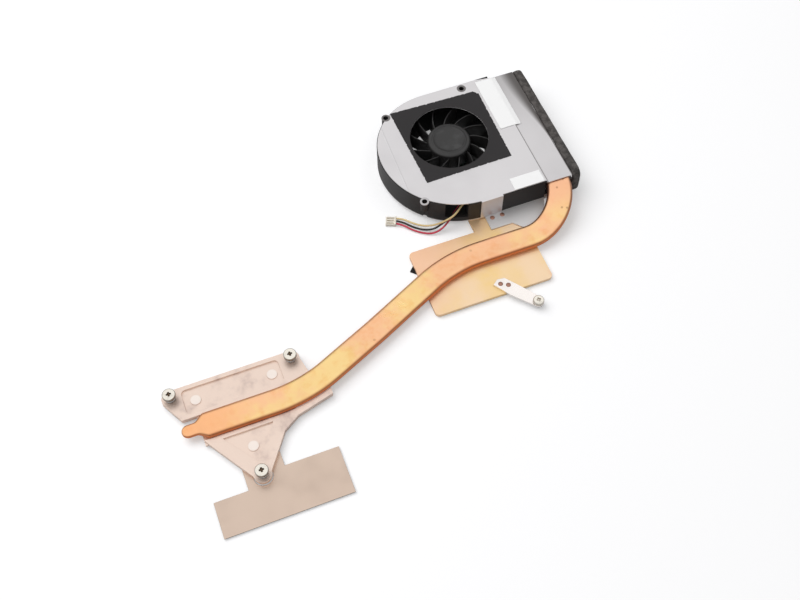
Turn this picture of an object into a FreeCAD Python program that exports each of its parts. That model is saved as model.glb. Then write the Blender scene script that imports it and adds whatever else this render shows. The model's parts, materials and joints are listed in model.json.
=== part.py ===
import FreeCAD, Part
import math
import os
from FreeCAD import Placement, Rotation, Vector
import Sketcher

# Fan and heat pipe cooler of a portable computer, in millimetres.
# The origin is the centre of the processor contact face. X runs along the processor's pipe seat,
# Y runs back towards the fan and Z is up. The cooler stands on the plane Z = 0.

doc = FreeCAD.newDocument("cooler")
sheet = doc.addObject("Spreadsheet::Sheet", "sizes")

# Two lengths closer than this are the same
NEAR = 1e-5
# Sections of the loft that makes the rising bend
BEND_STEPS = 9
# Share of the shorter run that each arc of a wire takes
ARC_SHARE = 0.45
# Short runs in each turn of a spring
SPRING_STEPS = 8
# How makePipeShell joins two runs at a corner: by a mitre
MITRE = 1


SIZES = {
    # Levels above the contact plane
    "base_bottom": 2.0,
    "base_thick": 0.6,
    "base_top": "=base_bottom + base_thick",
    "wall_height": 10.6,
    "wall_top": "=base_top + wall_height",
    "cover_thick": 0.4,
    "cover_top": "=wall_top + cover_thick",
    "joint_clearance": 0.05,

    # Fan: place of its axis and form of its spiral wall
    "fan_x": 117.4,
    "fan_y": 84.4,
    "spiral_top": 26.0,
    "spiral_left": 31.8,
    "spiral_bottom": 36.0,
    "spiral_centre_y": -3.0,
    "wall_thick": 1.6,
    "throat_x": 28.5,
    "tongue_x": 11.0,
    "tongue_y": 21.2,
    "tongue_root_x": -1.0,
    "tongue_end_y": 22.6,
    "notch_x": -14.6,
    "notch_width": 8.8,
    "notch_bottom": 4.9,
    "notch_reach": 7.0,

    # Screw bosses of the housing
    "boss_radius": 1.7,
    "boss_height": 4.6,
    "boss_hole_radius": 1.1,
    "screw_clear_radius": 1.35,
    "boss_a_x": -21.3,
    "boss_a_y": 19.5,
    "boss_b_x": 15.2,
    "boss_b_y": 23.2,
    "boss_c_x": -22.0,
    "boss_c_y": -27.5,
    "ear_radius": 1.85,

    # Cover
    "inlet_radius": 16.55,
    "cover_edge_inset": 0.3,
    "step_x": 28.6,
    "step_corner": 1.5,
    "step_drop": 0.45,
    "fin_end_x": 40.0,
    "fin_front_y": -36.5,
    "fin_back_y": 24.5,
    "tab_x": -0.5,
    "tab_width": 9.5,
    "tab_root": 2.0,

    # Sheets stuck on the cover
    "film_thick": 0.15,
    "film_side": 39.2,
    "film_shift_x": 1.0,
    "film_shift_y": 0.6,
    "film_corner": 0.6,
    "label_x": 22.0,
    "label_width": 9.5,
    "label_front_y": -4.0,
    "label_back_y": 24.2,
    "sticker_x": 14.5,
    "sticker_width": 13.5,
    "sticker_front_y": -35.6,
    "sticker_depth": 6.0,

    # Rotor
    "hub_radius": 8.8,
    "hub_top_drop": 1.6,
    "hub_top": "=cover_top - hub_top_drop",
    "hub_wall": 0.8,
    "hub_height": 7.6,
    "hub_edge": 1.2,
    "hub_ridge_radius": 6.4,
    "hub_ridge": 0.25,
    "hub_ridge_half": 0.5,
    "blade_count": 13,
    "blade_tip_radius": 19.6,
    "blade_thick": 0.55,
    "blade_sweep": 24.0,
    "blade_bow": 0.9,
    "blade_top_drop": 2.2,
    "blade_height": 7.4,
    "yoke_thick": 0.5,
    "magnet_thick": 1.1,
    "magnet_height": 4.4,
    "shaft_radius": 1.0,
    "bearing_clearance": 0.03,
    "sleeve_wall": 1.1,
    "sleeve_height": 5.6,
    "holder_wall": 0.7,
    "holder_flange": 1.2,
    "cap_height": 0.4,

    # Motor
    "board_radius": 8.6,
    "board_thick": 0.8,
    "collar_wall": 1.2,
    "collar_height": 1.2,
    "pole_count": 6,
    "coil_start": 0.3,
    "pole_reach": 5.5,
    "pole_width": 1.4,
    "core_height": 2.4,
    "core_lift": 1.9,
    "core_wall": 0.7,
    "coil_thick": 0.5,
    "shoe_thick": 0.6,
    "shoe_angle": 36.0,

    # Openings in the base plate below the impeller
    "port_count": 3,
    "port_inner_radius": 10.4,
    "port_outer_radius": 15.8,
    "port_angle": 92.0,
    "port_turn": 145.0,

    # Lobe of the base plate in front of the fan
    "lobe_left_x": 1.5,
    "lobe_front_y": -43.2,
    "lobe_mid_x": 11.0,
    "lobe_gap": 0.4,
    "lobe_start_turn": -88.0,

    # Heat pipe: a round pipe pressed flat
    "pipe_width": 10.4,
    "pipe_height": 3.4,
    "pipe_start_x": -13.6,
    "pipe_seat_y": -2.0,
    "pipe_bend_a_x": 24.5,
    "pipe_mid_x": 58.0,
    "pipe_mid_y": 12.9,
    "pipe_bend_b_x": 97.0,
    "pipe_gpu_y": 31.5,
    "pipe_leg_from_fan": 34.2,
    "pipe_leg_x": "=fan_x + pipe_leg_from_fan",
    "pipe_soft_radius": 58.0,
    "pipe_mid_radius": 160.0,
    "pipe_bend_radius": 20.0,
    "pipe_rise": 7.2,
    "pipe_end_gap": 2.0,
    "nipple_radius": 2.6,
    "nipple_length": 4.0,
    "shoulder_length": 3.0,
    "nipple_height": 1.9,

    # Fin stack and the gasket round its outlet
    "fin_pitch": 1.4,
    "fin_count": 40,
    "fin_thick": 0.25,
    "fin_flange": 0.3,
    "fin_inset": 0.5,
    "gasket_width": 3.8,
    "gasket_wall": 2.2,
    "gasket_overhang": 0.9,
    "gasket_rise": 0.7,
    "gasket_corner": 1.4,
    "gasket_bottom": 1.0,

    # Copper plate of the graphics chip
    "gpu_x": 107.9,
    "gpu_y": 27.1,
    "gpu_length": 50.3,
    "gpu_depth": 31.4,
    "gpu_thick": 1.5,
    "gpu_corner": 2.0,
    "gpu_tab_left_x": -5.2,
    "gpu_tab_right_x": 12.5,
    "gpu_tab_back_y": -31.0,
    "gpu_tab_corner": 1.0,
    "gpu_pad_side": 22.0,
    "gpu_pad_thick": "=base_bottom - gpu_thick",
    "foam_side": 10.0,
    "foam_reach": 2.0,
    "foam_y": 35.4,

    # Rivets
    "rivet_radius": 0.7,
    "rivet_head_radius": 1.0,
    "rivet_head": 0.3,
    "plate_rivet_x": 6.4,
    "plate_rivet_y": -37.9,
    "plate_rivet_pitch": 4.4,

    # Steel arm and its screw
    "arm_x": 122.4,
    "arm_y": 2.9,
    "arm_turn": 128.0,
    "arm_length": 18.8,
    "arm_root_left": 2.4,
    "arm_root_right": 2.7,
    "arm_shoulder": 10.7,
    "arm_waist": 3.0,
    "arm_bevel": 2.2,
    "arm_thick": 0.8,
    "arm_end_radius": 2.3,
    "arm_rivet_pitch": 2.9,
    "arm_rivet_distance": 13.7,
    "arm_rivet_shift": 0.6,
    "arm_screw_head_radius": 2.2,
    "arm_screw_head": 1.3,
    "arm_screw_radius": 1.0,

    # Processor block
    "screw_circle_radius": 27.2,
    "screw_count": 3,
    "screw_turn": 150.0,
    "block_bottom": 1.0,
    "block_top": 3.2,
    "block_recess": 0.8,
    "block_ear_radius": 3.4,
    "ear_bottom": 1.5,
    "pipe_seat_gap": 0.05,
    "block_rim": 1.7,
    "pin_radius": 2.1,
    "pin_x": 14.9,
    "pin_y": -15.4,
    "bar_left_x": -21.9,
    "bar_right_x": 26.9,
    "bar_back_y": 16.9,
    "bar_shoulder_y": 12.4,
    "bar_tongue_x": 28.3,
    "bar_bevel": 3.0,
    "bar_field_left": -19.4,
    "bar_field_right": 18.6,
    "wedge_left_x": -16.3,
    "wedge_tongue_x": 33.9,
    "wedge_tip_y": -6.0,
    "wedge_hip_x": 19.2,
    "wedge_hip_y": -9.8,
    "wedge_waist_x": 12.6,
    "wedge_waist_y": -14.0,
    "wedge_field_half": 9.6,
    "pin_height": 0.35,
    "contact_length": 23.0,
    "contact_depth": 22.0,
    "contact_corner": 1.5,

    # Captive screws of the processor block
    "screw_radius": 1.2,
    "screw_hole_radius": 1.5,
    "screw_head_radius": 2.55,
    "screw_head": 1.3,
    "screw_play": 0.3,
    "clip_groove": 0.25,
    "screw_socket_radius": 0.95,
    "screw_socket_depth": 0.8,
    "screw_tip": 0.1,
    "spring_wire": 0.17,
    "spring_radius": 1.85,
    "spring_turns": 3,
    "spring_height": 2.6,
    "clip_radius": 2.3,
    "clip_thick": 0.4,
    "clip_slot": 0.9,

    # Chipset plate and its pads
    "tee_left_x": -19.6,
    "tee_right_x": 29.1,
    "tee_front_y": -44.7,
    "tee_left_back_y": -30.6,
    "tee_right_back_y": -26.0,
    "tee_stem_left_x": -6.6,
    "tee_stem_right_x": 8.4,
    "tee_stem_back_y": -17.0,
    "tee_thick": 0.5,
    "tee_corner": 0.6,
    "tee_hole_radius": 3.6,
    "tee_pad_width": 14.0,
    "tee_pad_depth": 9.0,
    "tee_pad_gap": 8.0,

    # Fan wires and their connector
    "wire_radius": 0.4,
    "plug_width": 4.0,
    "plug_length": 4.4,
    "plug_height": 2.0,
    "plug_rib": 0.5,
    "plug_turn": 157.0,
    "plug_slot": 0.9,
    "pin_pitch": 1.25,
}

for row, (alias, value) in enumerate(SIZES.items(), 1):
    sheet.set("A%d" % row, alias)
    sheet.set("B%d" % row, str(value))
    sheet.setAlias("B%d" % row, alias)
sheet.recompute()
doc.recompute()


def val(alias):
    """Read one size as a plain number."""
    return float(sheet.get(alias))


def bind(item, prop, formula):
    """Tie a property to cells of the sheet, whose aliases stand between square brackets."""
    item.setExpression(prop, formula.replace("[", "<<sizes>>.").replace("]", ""))


def at_fan(item):
    """Set a sub-part on the fan's axis."""
    bind(item, "Placement.Base.x", "[fan_x]")
    bind(item, "Placement.Base.y", "[fan_y]")
    return item


def new_body(name):
    """A body whose label names its sub-part."""
    body = doc.addObject("PartDesign::Body", name)
    body.Label = name
    return body


def new_sketch(body, level, role="XY_Plane"):
    """A sketch on one of the body's own planes, lifted to a level."""
    sketch = body.newObject("Sketcher::SketchObject", body.Name + "_sketch")
    planes = [plane for plane in body.Origin.OriginFeatures if plane.Role == role]
    sketch.AttachmentSupport = [(planes[0], "")]
    sketch.MapMode = "FlatFace"
    bind(sketch, "AttachmentOffset.Base.z", level)
    return sketch


def circle(sketch, centre, radius):
    """A circle with its radius tied to the sheet."""
    index = sketch.addGeometry(Part.Circle(centre, Vector(0, 0, 1), 1.0), False)
    number = sketch.addConstraint(Sketcher.Constraint("Radius", index, 1.0))
    bind(sketch, "Constraints[%d]" % number, radius)


def pad(sketch, height):
    """Raise a solid from a sketch."""
    feature = sketch.getParentGeoFeatureGroup().newObject("PartDesign::Pad", sketch.Name + "_pad")
    feature.Profile = sketch
    bind(feature, "Length", height)
    sketch.Visibility = False
    return feature


def pocket(sketch, depth):
    """Cut downwards from a sketch."""
    body = sketch.getParentGeoFeatureGroup()
    doc.recompute()
    before = body.Shape.Volume
    feature = body.newObject("PartDesign::Pocket", sketch.Name + "_pocket")
    feature.Profile = sketch
    bind(feature, "Length", depth)
    doc.recompute()
    if feature.Shape.Volume >= before:
        raise RuntimeError(feature.Name + " cuts nothing")
    return feature


def turn_pattern(body, feature, count):
    """Repeat a feature round the body's upright axis."""
    pattern = body.newObject("PartDesign::PolarPattern", body.Name + "_pattern")
    pattern.Originals = [feature]
    axes = [axis for axis in body.Origin.OriginFeatures if axis.Role == "Z_Axis"]
    pattern.Axis = (axes[0], [""])
    pattern.Angle = 360
    bind(pattern, "Occurrences", count)
    body.Tip = pattern
    return pattern


class Outline:
    """A closed plan outline, drawn from point to point with straight lines and arcs."""

    def __init__(self, x, y):
        self.start = Vector(x, y, 0)
        self.here = self.start
        self.edges = []

    def line(self, x, y):
        there = Vector(x, y, 0)
        if there.distanceToPoint(self.here) > NEAR:
            self.edges.append(Part.LineSegment(self.here, there))
            self.here = there
        return self

    def arc(self, middle, x, y):
        there = Vector(x, y, 0)
        self.edges.append(Part.Arc(self.here, middle, there))
        self.here = there
        return self

    def close(self):
        self.line(self.start.x, self.start.y)
        return self.edges


def on_circle(centre_x, centre_y, radius, degrees):
    """The point of a circle at an angle from +X."""
    turn = math.radians(degrees)
    return Vector(centre_x + radius * math.cos(turn), centre_y + radius * math.sin(turn), 0)


def box_outline(left, front, right, back, corner=0.0):
    """A rectangle with round corners."""
    if corner <= 0:
        return Outline(left, front).line(right, front).line(right, back).line(left, back).close()
    path = Outline(left + corner, front).line(right - corner, front)
    bend = on_circle(right - corner, front + corner, corner, -45)
    path.arc(bend, right, front + corner).line(right, back - corner)
    bend = on_circle(right - corner, back - corner, corner, 45)
    path.arc(bend, right - corner, back).line(left + corner, back)
    bend = on_circle(left + corner, back - corner, corner, 135)
    path.arc(bend, left, back - corner).line(left, front + corner)
    bend = on_circle(left + corner, front + corner, corner, 225)
    path.arc(bend, left + corner, front)
    return path.close()


def ring(body, level, inner, outer, height):
    """A plain ring about the body's axis. An empty inner radius gives a disc."""
    sketch = new_sketch(body, level)
    if inner:
        circle(sketch, Vector(0, 0, 0), inner)
    circle(sketch, Vector(0, 0, 0), outer)
    return pad(sketch, height)


def slab(name, level, edges, height):
    """A body raised from one outline."""
    body = new_body(name)
    sketch = new_sketch(body, level)
    sketch.addGeometry(edges, False)
    pad(sketch, height)
    return body


def add_slab(body, level, edges, height):
    """Raise one more outline on a body."""
    sketch = new_sketch(body, level)
    sketch.addGeometry(edges, False)
    return pad(sketch, height)


def cut_slab(body, level, edges, depth):
    """Cut an outline down from a level of a body."""
    sketch = new_sketch(body, level)
    sketch.addGeometry(edges, False)
    return pocket(sketch, depth)


def add_disc(body, level, centre, radius, height):
    """Raise a round boss on a body."""
    sketch = new_sketch(body, level)
    circle(sketch, centre, radius)
    return pad(sketch, height)


def cut_discs(body, level, centres, radius, depth):
    """Cut round holes down from a level of a body."""
    sketch = new_sketch(body, level)
    for centre in centres:
        circle(sketch, centre, radius)
    return pocket(sketch, depth)


def solid(name, shape, x=0.0, y=0.0, z=0.0):
    """A sub-part whose form is worked out here."""
    item = doc.addObject("Part::Feature", name)
    item.Label = name
    item.Shape = shape
    item.Placement = Placement(Vector(x, y, z), Rotation())
    return item


def bosses():
    """Plan places of the housing's screw bosses, from the fan's axis."""
    return [Vector(val("boss_%s_x" % letter), val("boss_%s_y" % letter), 0) for letter in "abc"]


def spiral(path, inset):
    """Carry an outline round the fan's spiral, from its top over the left to its bottom."""
    centre_y = val("spiral_centre_y")
    back_radius = val("spiral_top") - centre_y - inset
    front_radius = val("spiral_bottom") + centre_y - inset
    left = inset - val("spiral_left")
    path.line(left + back_radius, centre_y + back_radius)
    path.arc(on_circle(left + back_radius, centre_y, back_radius, 135), left, centre_y)
    path.arc(on_circle(left + front_radius, centre_y, front_radius, 225),
             left + front_radius, centre_y - front_radius)
    return path


def base_outline():
    """The base plate: spiral, fin section and the lobe in front that follows the pipe's bend."""
    path = Outline(val("fin_end_x"), val("fin_front_y"))
    path.line(val("fin_end_x"), val("fin_back_y"))
    path.line(val("label_x") + val("label_width"), val("fin_back_y"))
    path.line(val("label_x"), val("spiral_top"))
    spiral(path, 0.0)
    path.line(val("lobe_left_x"), -val("spiral_bottom"))
    path.line(val("lobe_left_x"), val("lobe_front_y")).line(val("lobe_mid_x"), val("lobe_front_y"))
    bend = val("pipe_bend_radius")
    centre_x = val("pipe_leg_x") - bend - val("fan_x")
    centre_y = val("pipe_gpu_y") + bend - val("fan_y")
    radius = bend - val("pipe_width") / 2 - val("lobe_gap")
    end_turn = math.degrees(math.asin((val("fin_front_y") - centre_y) / radius))
    start_turn = val("lobe_start_turn")
    start = on_circle(centre_x, centre_y, radius, start_turn)
    end = on_circle(centre_x, centre_y, radius, end_turn)
    path.line(start.x, start.y)
    path.arc(on_circle(centre_x, centre_y, radius, (start_turn + end_turn) / 2), end.x, end.y)
    return path.close()


def port_outline(turn):
    """One curved air opening below the impeller."""
    inner = val("port_inner_radius")
    outer = val("port_outer_radius")
    first = turn - val("port_angle") / 2
    last = turn + val("port_angle") / 2
    start = on_circle(0, 0, inner, first)
    path = Outline(start.x, start.y)
    corner = on_circle(0, 0, outer, first)
    path.line(corner.x, corner.y)
    corner = on_circle(0, 0, outer, last)
    path.arc(on_circle(0, 0, outer, turn), corner.x, corner.y)
    corner = on_circle(0, 0, inner, last)
    path.line(corner.x, corner.y)
    path.arc(on_circle(0, 0, inner, turn), start.x, start.y)
    return path.edges


def make_base_plate():
    """Sheet floor of the fan and of the fin section, with three air openings."""
    body = slab("base_plate", "[base_bottom]", base_outline(), "[base_thick]")
    count = int(val("port_count"))
    for port in range(count):
        outline = port_outline(val("port_turn") + port * 360 / count)
        cut_slab(body, "[base_top]", outline, "[base_thick]")
    cut_discs(body, "[base_top]", bosses(), "[screw_clear_radius]", "[base_thick]")
    cut_discs(body, "[base_top]", plate_rivets(), "[rivet_radius]", "[base_thick]")
    return at_fan(body)


def plate_rivets():
    """Places of the two rivets that hold the lobe on the copper tab, from the fan's axis."""
    half = val("plate_rivet_pitch") / 2
    return [Vector(val("plate_rivet_x") + side * half, val("plate_rivet_y"), 0) for side in (-1, 1)]


def make_fan_housing():
    """Moulded spiral wall with its cut-off tongue, open to the right, and three screw bosses."""
    path = Outline(val("throat_x"), val("spiral_top"))
    spiral(path, 0.0).line(val("throat_x"), -val("spiral_bottom"))
    body = slab("fan_housing", "[base_top]", path.close(), "[wall_height]")
    wall = val("wall_thick")
    mouth = val("throat_x") + wall
    path = Outline(mouth, val("tongue_end_y")).line(val("tongue_x"), val("tongue_y"))
    path.line(val("tongue_root_x"), val("spiral_top") - wall)
    spiral(path, wall).line(mouth, wall - val("spiral_bottom"))
    cut_slab(body, "[wall_top]", path.close(), "[wall_height]")
    sketch = new_sketch(body, "[wall_top] - [boss_height]")
    for centre in bosses():
        circle(sketch, centre, "[boss_radius]")
    pad(sketch, "[boss_height]")
    cut_discs(body, "[wall_top]", bosses(), "[boss_hole_radius]", "[boss_height]")
    clear_top = "[wall_top] - [boss_height]"
    cut_discs(body, clear_top, bosses(), "[screw_clear_radius]", "[wall_height] - [boss_height]")
    left = val("notch_x")
    front = -val("spiral_bottom")
    notch = box_outline(left, front, left + val("notch_width"), front + val("notch_reach"))
    cut_slab(body, "[wall_top]", notch, "[wall_top] - [notch_bottom]")
    return at_fan(body)


def cover_outline(inset):
    """The cover over the fan, up to the step before the fins."""
    right = val("step_x") + val("cover_thick")
    path = Outline(right, val("spiral_top") - val("step_corner"))
    path.line(val("label_x"), val("spiral_top") - inset)
    spiral(path, inset).line(right, inset - val("spiral_bottom"))
    return path.close()


def make_fan_cover():
    """Sheet cover with its round inlet, a step down over the fins, three ears and a folded tab."""
    edge = val("cover_edge_inset")
    body = slab("fan_cover", "[wall_top]", cover_outline(edge), "[cover_thick]")
    step = val("step_x")
    thick = val("cover_thick")
    web = box_outline(step, val("fin_front_y"), step + thick, val("fin_back_y"))
    add_slab(body, "[wall_top] - [step_drop]", web, "[cover_thick] + [step_drop]")
    fins = box_outline(step, val("fin_front_y"), val("fin_end_x"), val("fin_back_y"))
    add_slab(body, "[wall_top] - [step_drop]", fins, "[cover_thick]")
    for centre in bosses():
        add_disc(body, "[wall_top]", centre, "[ear_radius]", "[cover_thick]")
    front = -val("spiral_bottom") - val("joint_clearance")
    tab = box_outline(val("tab_x"), front - thick, val("tab_x") + val("tab_width"), front)
    add_slab(body, "[base_top] + [joint_clearance]", tab, "[cover_top] - [base_top] - [joint_clearance]")
    root = front + val("tab_root")
    bend = box_outline(val("tab_x"), front - thick, val("tab_x") + val("tab_width"), root)
    add_slab(body, "[wall_top]", bend, "[cover_thick]")
    cut_discs(body, "[cover_top]", [Vector(0, 0, 0)], "[inlet_radius]", "[cover_thick]")
    cut_discs(body, "[cover_top]", bosses(), "[boss_hole_radius]", "[cover_thick]")
    return at_fan(body)


def make_inlet_sheet():
    """Square sheet stuck round the inlet."""
    half = val("film_side") / 2
    x, y = val("film_shift_x"), val("film_shift_y")
    outline = box_outline(x - half, y - half, x + half, y + half, val("film_corner"))
    body = slab("inlet_sheet", "[cover_top]", outline, "[film_thick]")
    cut_discs(body, "[cover_top] + [film_thick]", [Vector(0, 0, 0)], "[inlet_radius]", "[film_thick]")
    return at_fan(body)


def make_cover_label():
    """Bare white label that follows the step of the cover."""
    left = val("label_x")
    front = val("label_front_y")
    back = val("label_back_y")
    step = val("step_x") + val("cover_thick")
    film = val("film_thick")
    top = box_outline(left, front, step + film, back)
    body = slab("cover_label", "[cover_top]", top, "[film_thick]")
    web = box_outline(step, front, step + film, back)
    add_slab(body, "[cover_top] - [step_drop]", web, "[step_drop] + [film_thick]")
    low = box_outline(step, front, left + val("label_width"), back)
    add_slab(body, "[cover_top] - [step_drop]", low, "[film_thick]")
    return at_fan(body)


def make_cover_sticker():
    """Small white sticker at the front edge of the cover."""
    left = val("sticker_x")
    front = val("sticker_front_y")
    outline = box_outline(left, front, left + val("sticker_width"), front + val("sticker_depth"))
    return at_fan(slab("cover_sticker", "[cover_top]", outline, "[film_thick]"))


def hub_profile():
    """Half section of the rotor cup, with radius along X and height along Y."""
    top = val("hub_top")
    wall = val("hub_wall")
    outer = val("hub_radius")
    edge = val("hub_edge")
    ridge = val("hub_ridge_radius")
    lift = val("hub_ridge")
    half = val("hub_ridge_half")
    collar = val("shaft_radius") + val("collar_wall")
    seat = top - wall - val("collar_height")
    path = Outline(val("shaft_radius"), seat).line(collar, seat).line(collar, top - wall)
    path.line(outer - wall, top - wall).line(outer - wall, top - val("hub_height"))
    path.line(outer, top - val("hub_height")).line(outer, top - edge)
    path.arc(on_circle(outer - edge, top - edge, edge, 45), outer - edge, top)
    path.line(ridge + half, top).arc(Vector(ridge, top + lift, 0), ridge - half, top)
    path.line(0, top).line(0, top - wall).line(val("shaft_radius"), top - wall)
    return path.close()


def blade_outline():
    """One blade: two arcs from the hub to a tip that lags behind it."""
    root = Vector(val("hub_radius") - val("hub_wall") / 2, 0, 0)
    tip = on_circle(0, 0, val("blade_tip_radius"), -val("blade_sweep"))
    run = tip - root
    side = Vector(-run.y, run.x, 0).normalize()
    middle = (root + tip) / 2 + side * val("blade_bow")
    half = side * (val("blade_thick") / 2)
    path = Outline((root - half).x, (root - half).y)
    path.arc(middle - half, (tip - half).x, (tip - half).y)
    path.line((tip + half).x, (tip + half).y)
    path.arc(middle + half, (root + half).x, (root + half).y)
    return path.close()


def make_impeller():
    """Rotor cup with thin blades swept back from its direction of turning."""
    body = new_body("impeller")
    sketch = new_sketch(body, "0", "XZ_Plane")
    sketch.addGeometry(hub_profile(), False)
    cup = body.newObject("PartDesign::Revolution", "impeller_cup")
    cup.Profile = sketch
    cup.ReferenceAxis = (sketch, ["V_Axis"])
    cup.Angle = 360
    doc.recompute()
    level = "[cover_top] - [blade_top_drop] - [blade_height]"
    blade = add_slab(body, level, blade_outline(), "[blade_height]")
    turn_pattern(body, blade, "[blade_count]")
    return at_fan(body)


def make_ring(name, level, inner, outer, height):
    """A ring on the fan's axis, in its own body."""
    body = new_body(name)
    ring(body, level, inner, outer, height)
    return at_fan(body)


def make_rotor_core():
    """Yoke, magnet and shaft that turn inside the cup."""
    foot = "[hub_top] - [hub_height]"
    yoke_outer = "[hub_radius] - [hub_wall]"
    yoke_inner = yoke_outer + " - [yoke_thick]"
    make_ring("rotor_yoke", foot, yoke_inner, yoke_outer, "[hub_height] - [hub_wall]")
    make_ring("rotor_magnet", foot, yoke_inner + " - [magnet_thick]", yoke_inner, "[magnet_height]")
    foot = "[base_top] + [cap_height] + [joint_clearance]"
    make_ring("rotor_shaft", foot, "", "[shaft_radius]", "[hub_top] - [hub_wall] - (" + foot + ")")


def make_bearing():
    """Thrust cap, plain bearing sleeve and the flanged holder that stands on the base plate."""
    bore = "[shaft_radius] + [bearing_clearance]"
    sleeve_outer = bore + " + [sleeve_wall]"
    make_ring("thrust_cap", "[base_top]", "", sleeve_outer, "[cap_height]")
    make_ring("bearing_sleeve", "[base_top] + [cap_height]", bore, sleeve_outer, "[sleeve_height]")
    body = new_body("bearing_holder")
    holder_outer = sleeve_outer + " + [holder_wall]"
    ring(body, "[base_top]", sleeve_outer, holder_outer, "[cap_height] + [sleeve_height]")
    ring(body, "[base_top]", sleeve_outer, holder_outer + " + [holder_flange]", "[cap_height]")
    at_fan(body)


def holder_radius():
    """Outer radius of the bearing holder."""
    return val("shaft_radius") + val("bearing_clearance") + val("sleeve_wall") + val("holder_wall")


def make_motor_board():
    """Round circuit board round the bearing holder, flat on the base plate."""
    inner = "[shaft_radius] + [bearing_clearance] + [sleeve_wall] + [holder_wall] + [holder_flange]"
    make_ring("motor_board", "[base_top]", inner + " + [joint_clearance]", "[board_radius]", "[board_thick]")


def make_stator():
    """Laminated core with its poles, and a coil on each pole."""
    body = new_body("stator_core")
    inner = "[shaft_radius] + [bearing_clearance] + [sleeve_wall] + [holder_wall]"
    level = "[base_top] + [core_lift]"
    ring(body, level, inner, inner + " + [core_wall]", "[core_height]")
    half = val("pole_width") / 2
    start = holder_radius() + val("core_wall") / 2
    reach = val("pole_reach")
    shoe = reach + val("shoe_thick")
    turn = val("shoe_angle") / 2
    inner_low = on_circle(0, 0, reach, -turn)
    outer_low = on_circle(0, 0, shoe, -turn)
    outer_high = on_circle(0, 0, shoe, turn)
    inner_high = on_circle(0, 0, reach, turn)
    neck = math.sqrt(reach * reach - half * half)
    path = Outline(start, -half).line(neck, -half).line(inner_low.x, inner_low.y)
    path.line(outer_low.x, outer_low.y)
    path.arc(Vector(shoe, 0, 0), outer_high.x, outer_high.y).line(inner_high.x, inner_high.y)
    path.line(neck, half).line(start, half)
    pole = add_slab(body, level, path.close(), "[core_height]")
    turn_pattern(body, pole, "[pole_count]")
    at_fan(body)

    gap = val("joint_clearance")
    wrap = val("coil_thick")
    low = val("base_top") + val("core_lift")
    foot = holder_radius() + val("core_wall") + val("coil_start")
    length = inner_low.x - gap - foot
    outer = Part.makeBox(length, 2 * (half + wrap), val("core_height") + 2 * wrap,
                         Vector(foot, -half - wrap, low - wrap))
    inner = Part.makeBox(length, 2 * half, val("core_height"), Vector(foot, -half, low))
    coil = outer.cut(inner)
    count = int(val("pole_count"))
    coils = []
    for number in range(count):
        turned = coil.copy()
        turned.rotate(Vector(0, 0, 0), Vector(0, 0, 1), number * 360 / count)
        coils.append(turned)
    at_fan(solid("stator_coils", Part.makeCompound(coils)))


def fin_start():
    """Front of the fin stack, where the pipe's leg has become straight."""
    return val("pipe_gpu_y") + val("pipe_bend_radius") - val("fan_y") + val("fin_inset")


def make_fin_stack():
    """Sheet fins across the outlet, joined by their folded flanges, with the pipe on top."""
    left = val("step_x") + val("fin_inset")
    right = val("fin_end_x") - val("fin_inset")
    front = fin_start()
    thick = val("fin_thick")
    back = front + (val("fin_count") - 1) * val("fin_pitch") + thick
    flange = box_outline(left, front, right, back)
    body = slab("fin_stack", "[base_top]", flange, "[fin_flange]")
    top = "[base_bottom] + [pipe_rise] - [base_top]"
    fin = add_slab(body, "[base_top]", box_outline(left, front, right, front + thick), top)
    rows = body.newObject("PartDesign::LinearPattern", "fin_rows")
    rows.Originals = [fin]
    axes = [axis for axis in body.Origin.OriginFeatures if axis.Role == "Y_Axis"]
    rows.Direction = (axes[0], [""])
    bind(rows, "Length", "([fin_count] - 1) * [fin_pitch]")
    bind(rows, "Occurrences", "[fin_count]")
    body.Tip = rows
    add_slab(body, "[base_bottom] + [pipe_rise] - [fin_flange]", flange, "[fin_flange]")
    return at_fan(body)


def make_outlet_gasket():
    """Foam frame pressed on the edges of the outlet."""
    left = val("fin_end_x") + val("joint_clearance")
    right = left + val("gasket_width")
    front = val("fin_front_y") - val("gasket_overhang")
    back = val("fin_back_y") + val("gasket_overhang")
    edges = box_outline(left, front, right, back)
    body = slab("outlet_gasket", "[gasket_bottom]", edges, "[cover_top] + [gasket_rise] - [gasket_bottom]")
    wall = val("gasket_wall")
    path = box_outline(left - wall, front + wall, right + wall, back - wall)
    top = "[cover_top] + [gasket_rise] - [gasket_wall]"
    cut_slab(body, top, path, top + " - [gasket_bottom] - [gasket_wall]")
    doc.recompute()
    frame = body.Tip
    round_edges = [name for name, edge in named_edges(body.Shape)
                   if upright(edge) and near(edge.BoundBox.XMax, right) and outside(edge, front, back)]
    fillet = body.newObject("PartDesign::Fillet", "gasket_corner_round")
    fillet.Base = (frame, round_edges)
    bind(fillet, "Radius", "[gasket_corner]")
    return at_fan(body)


def named_edges(shape):
    """The edges of a shape with the names that features use for them."""
    return [("Edge%d" % (number + 1), edge) for number, edge in enumerate(shape.Edges)]


def near(first, second):
    """Whether two lengths are the same."""
    return abs(first - second) < NEAR


def upright(edge):
    """Whether an edge is a vertical line."""
    return near(edge.BoundBox.XLength, 0) and near(edge.BoundBox.YLength, 0)


def outside(edge, front, back):
    """Whether an edge lies on one of two planes across Y."""
    return near(edge.BoundBox.YMin, front) or near(edge.BoundBox.YMin, back)


def corner_arc(before, corner, after, radius):
    """Start, middle, end and centre of the arc that rounds a corner of a plan route."""
    inward = (before - corner).normalize()
    outward = (after - corner).normalize()
    half = inward.getAngle(outward) / 2
    reach = radius / math.tan(half)
    bisector = (inward + outward).normalize()
    centre = corner + bisector * (radius / math.sin(half))
    middle = centre - bisector * radius
    return corner + inward * reach, middle, corner + outward * reach, centre


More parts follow.
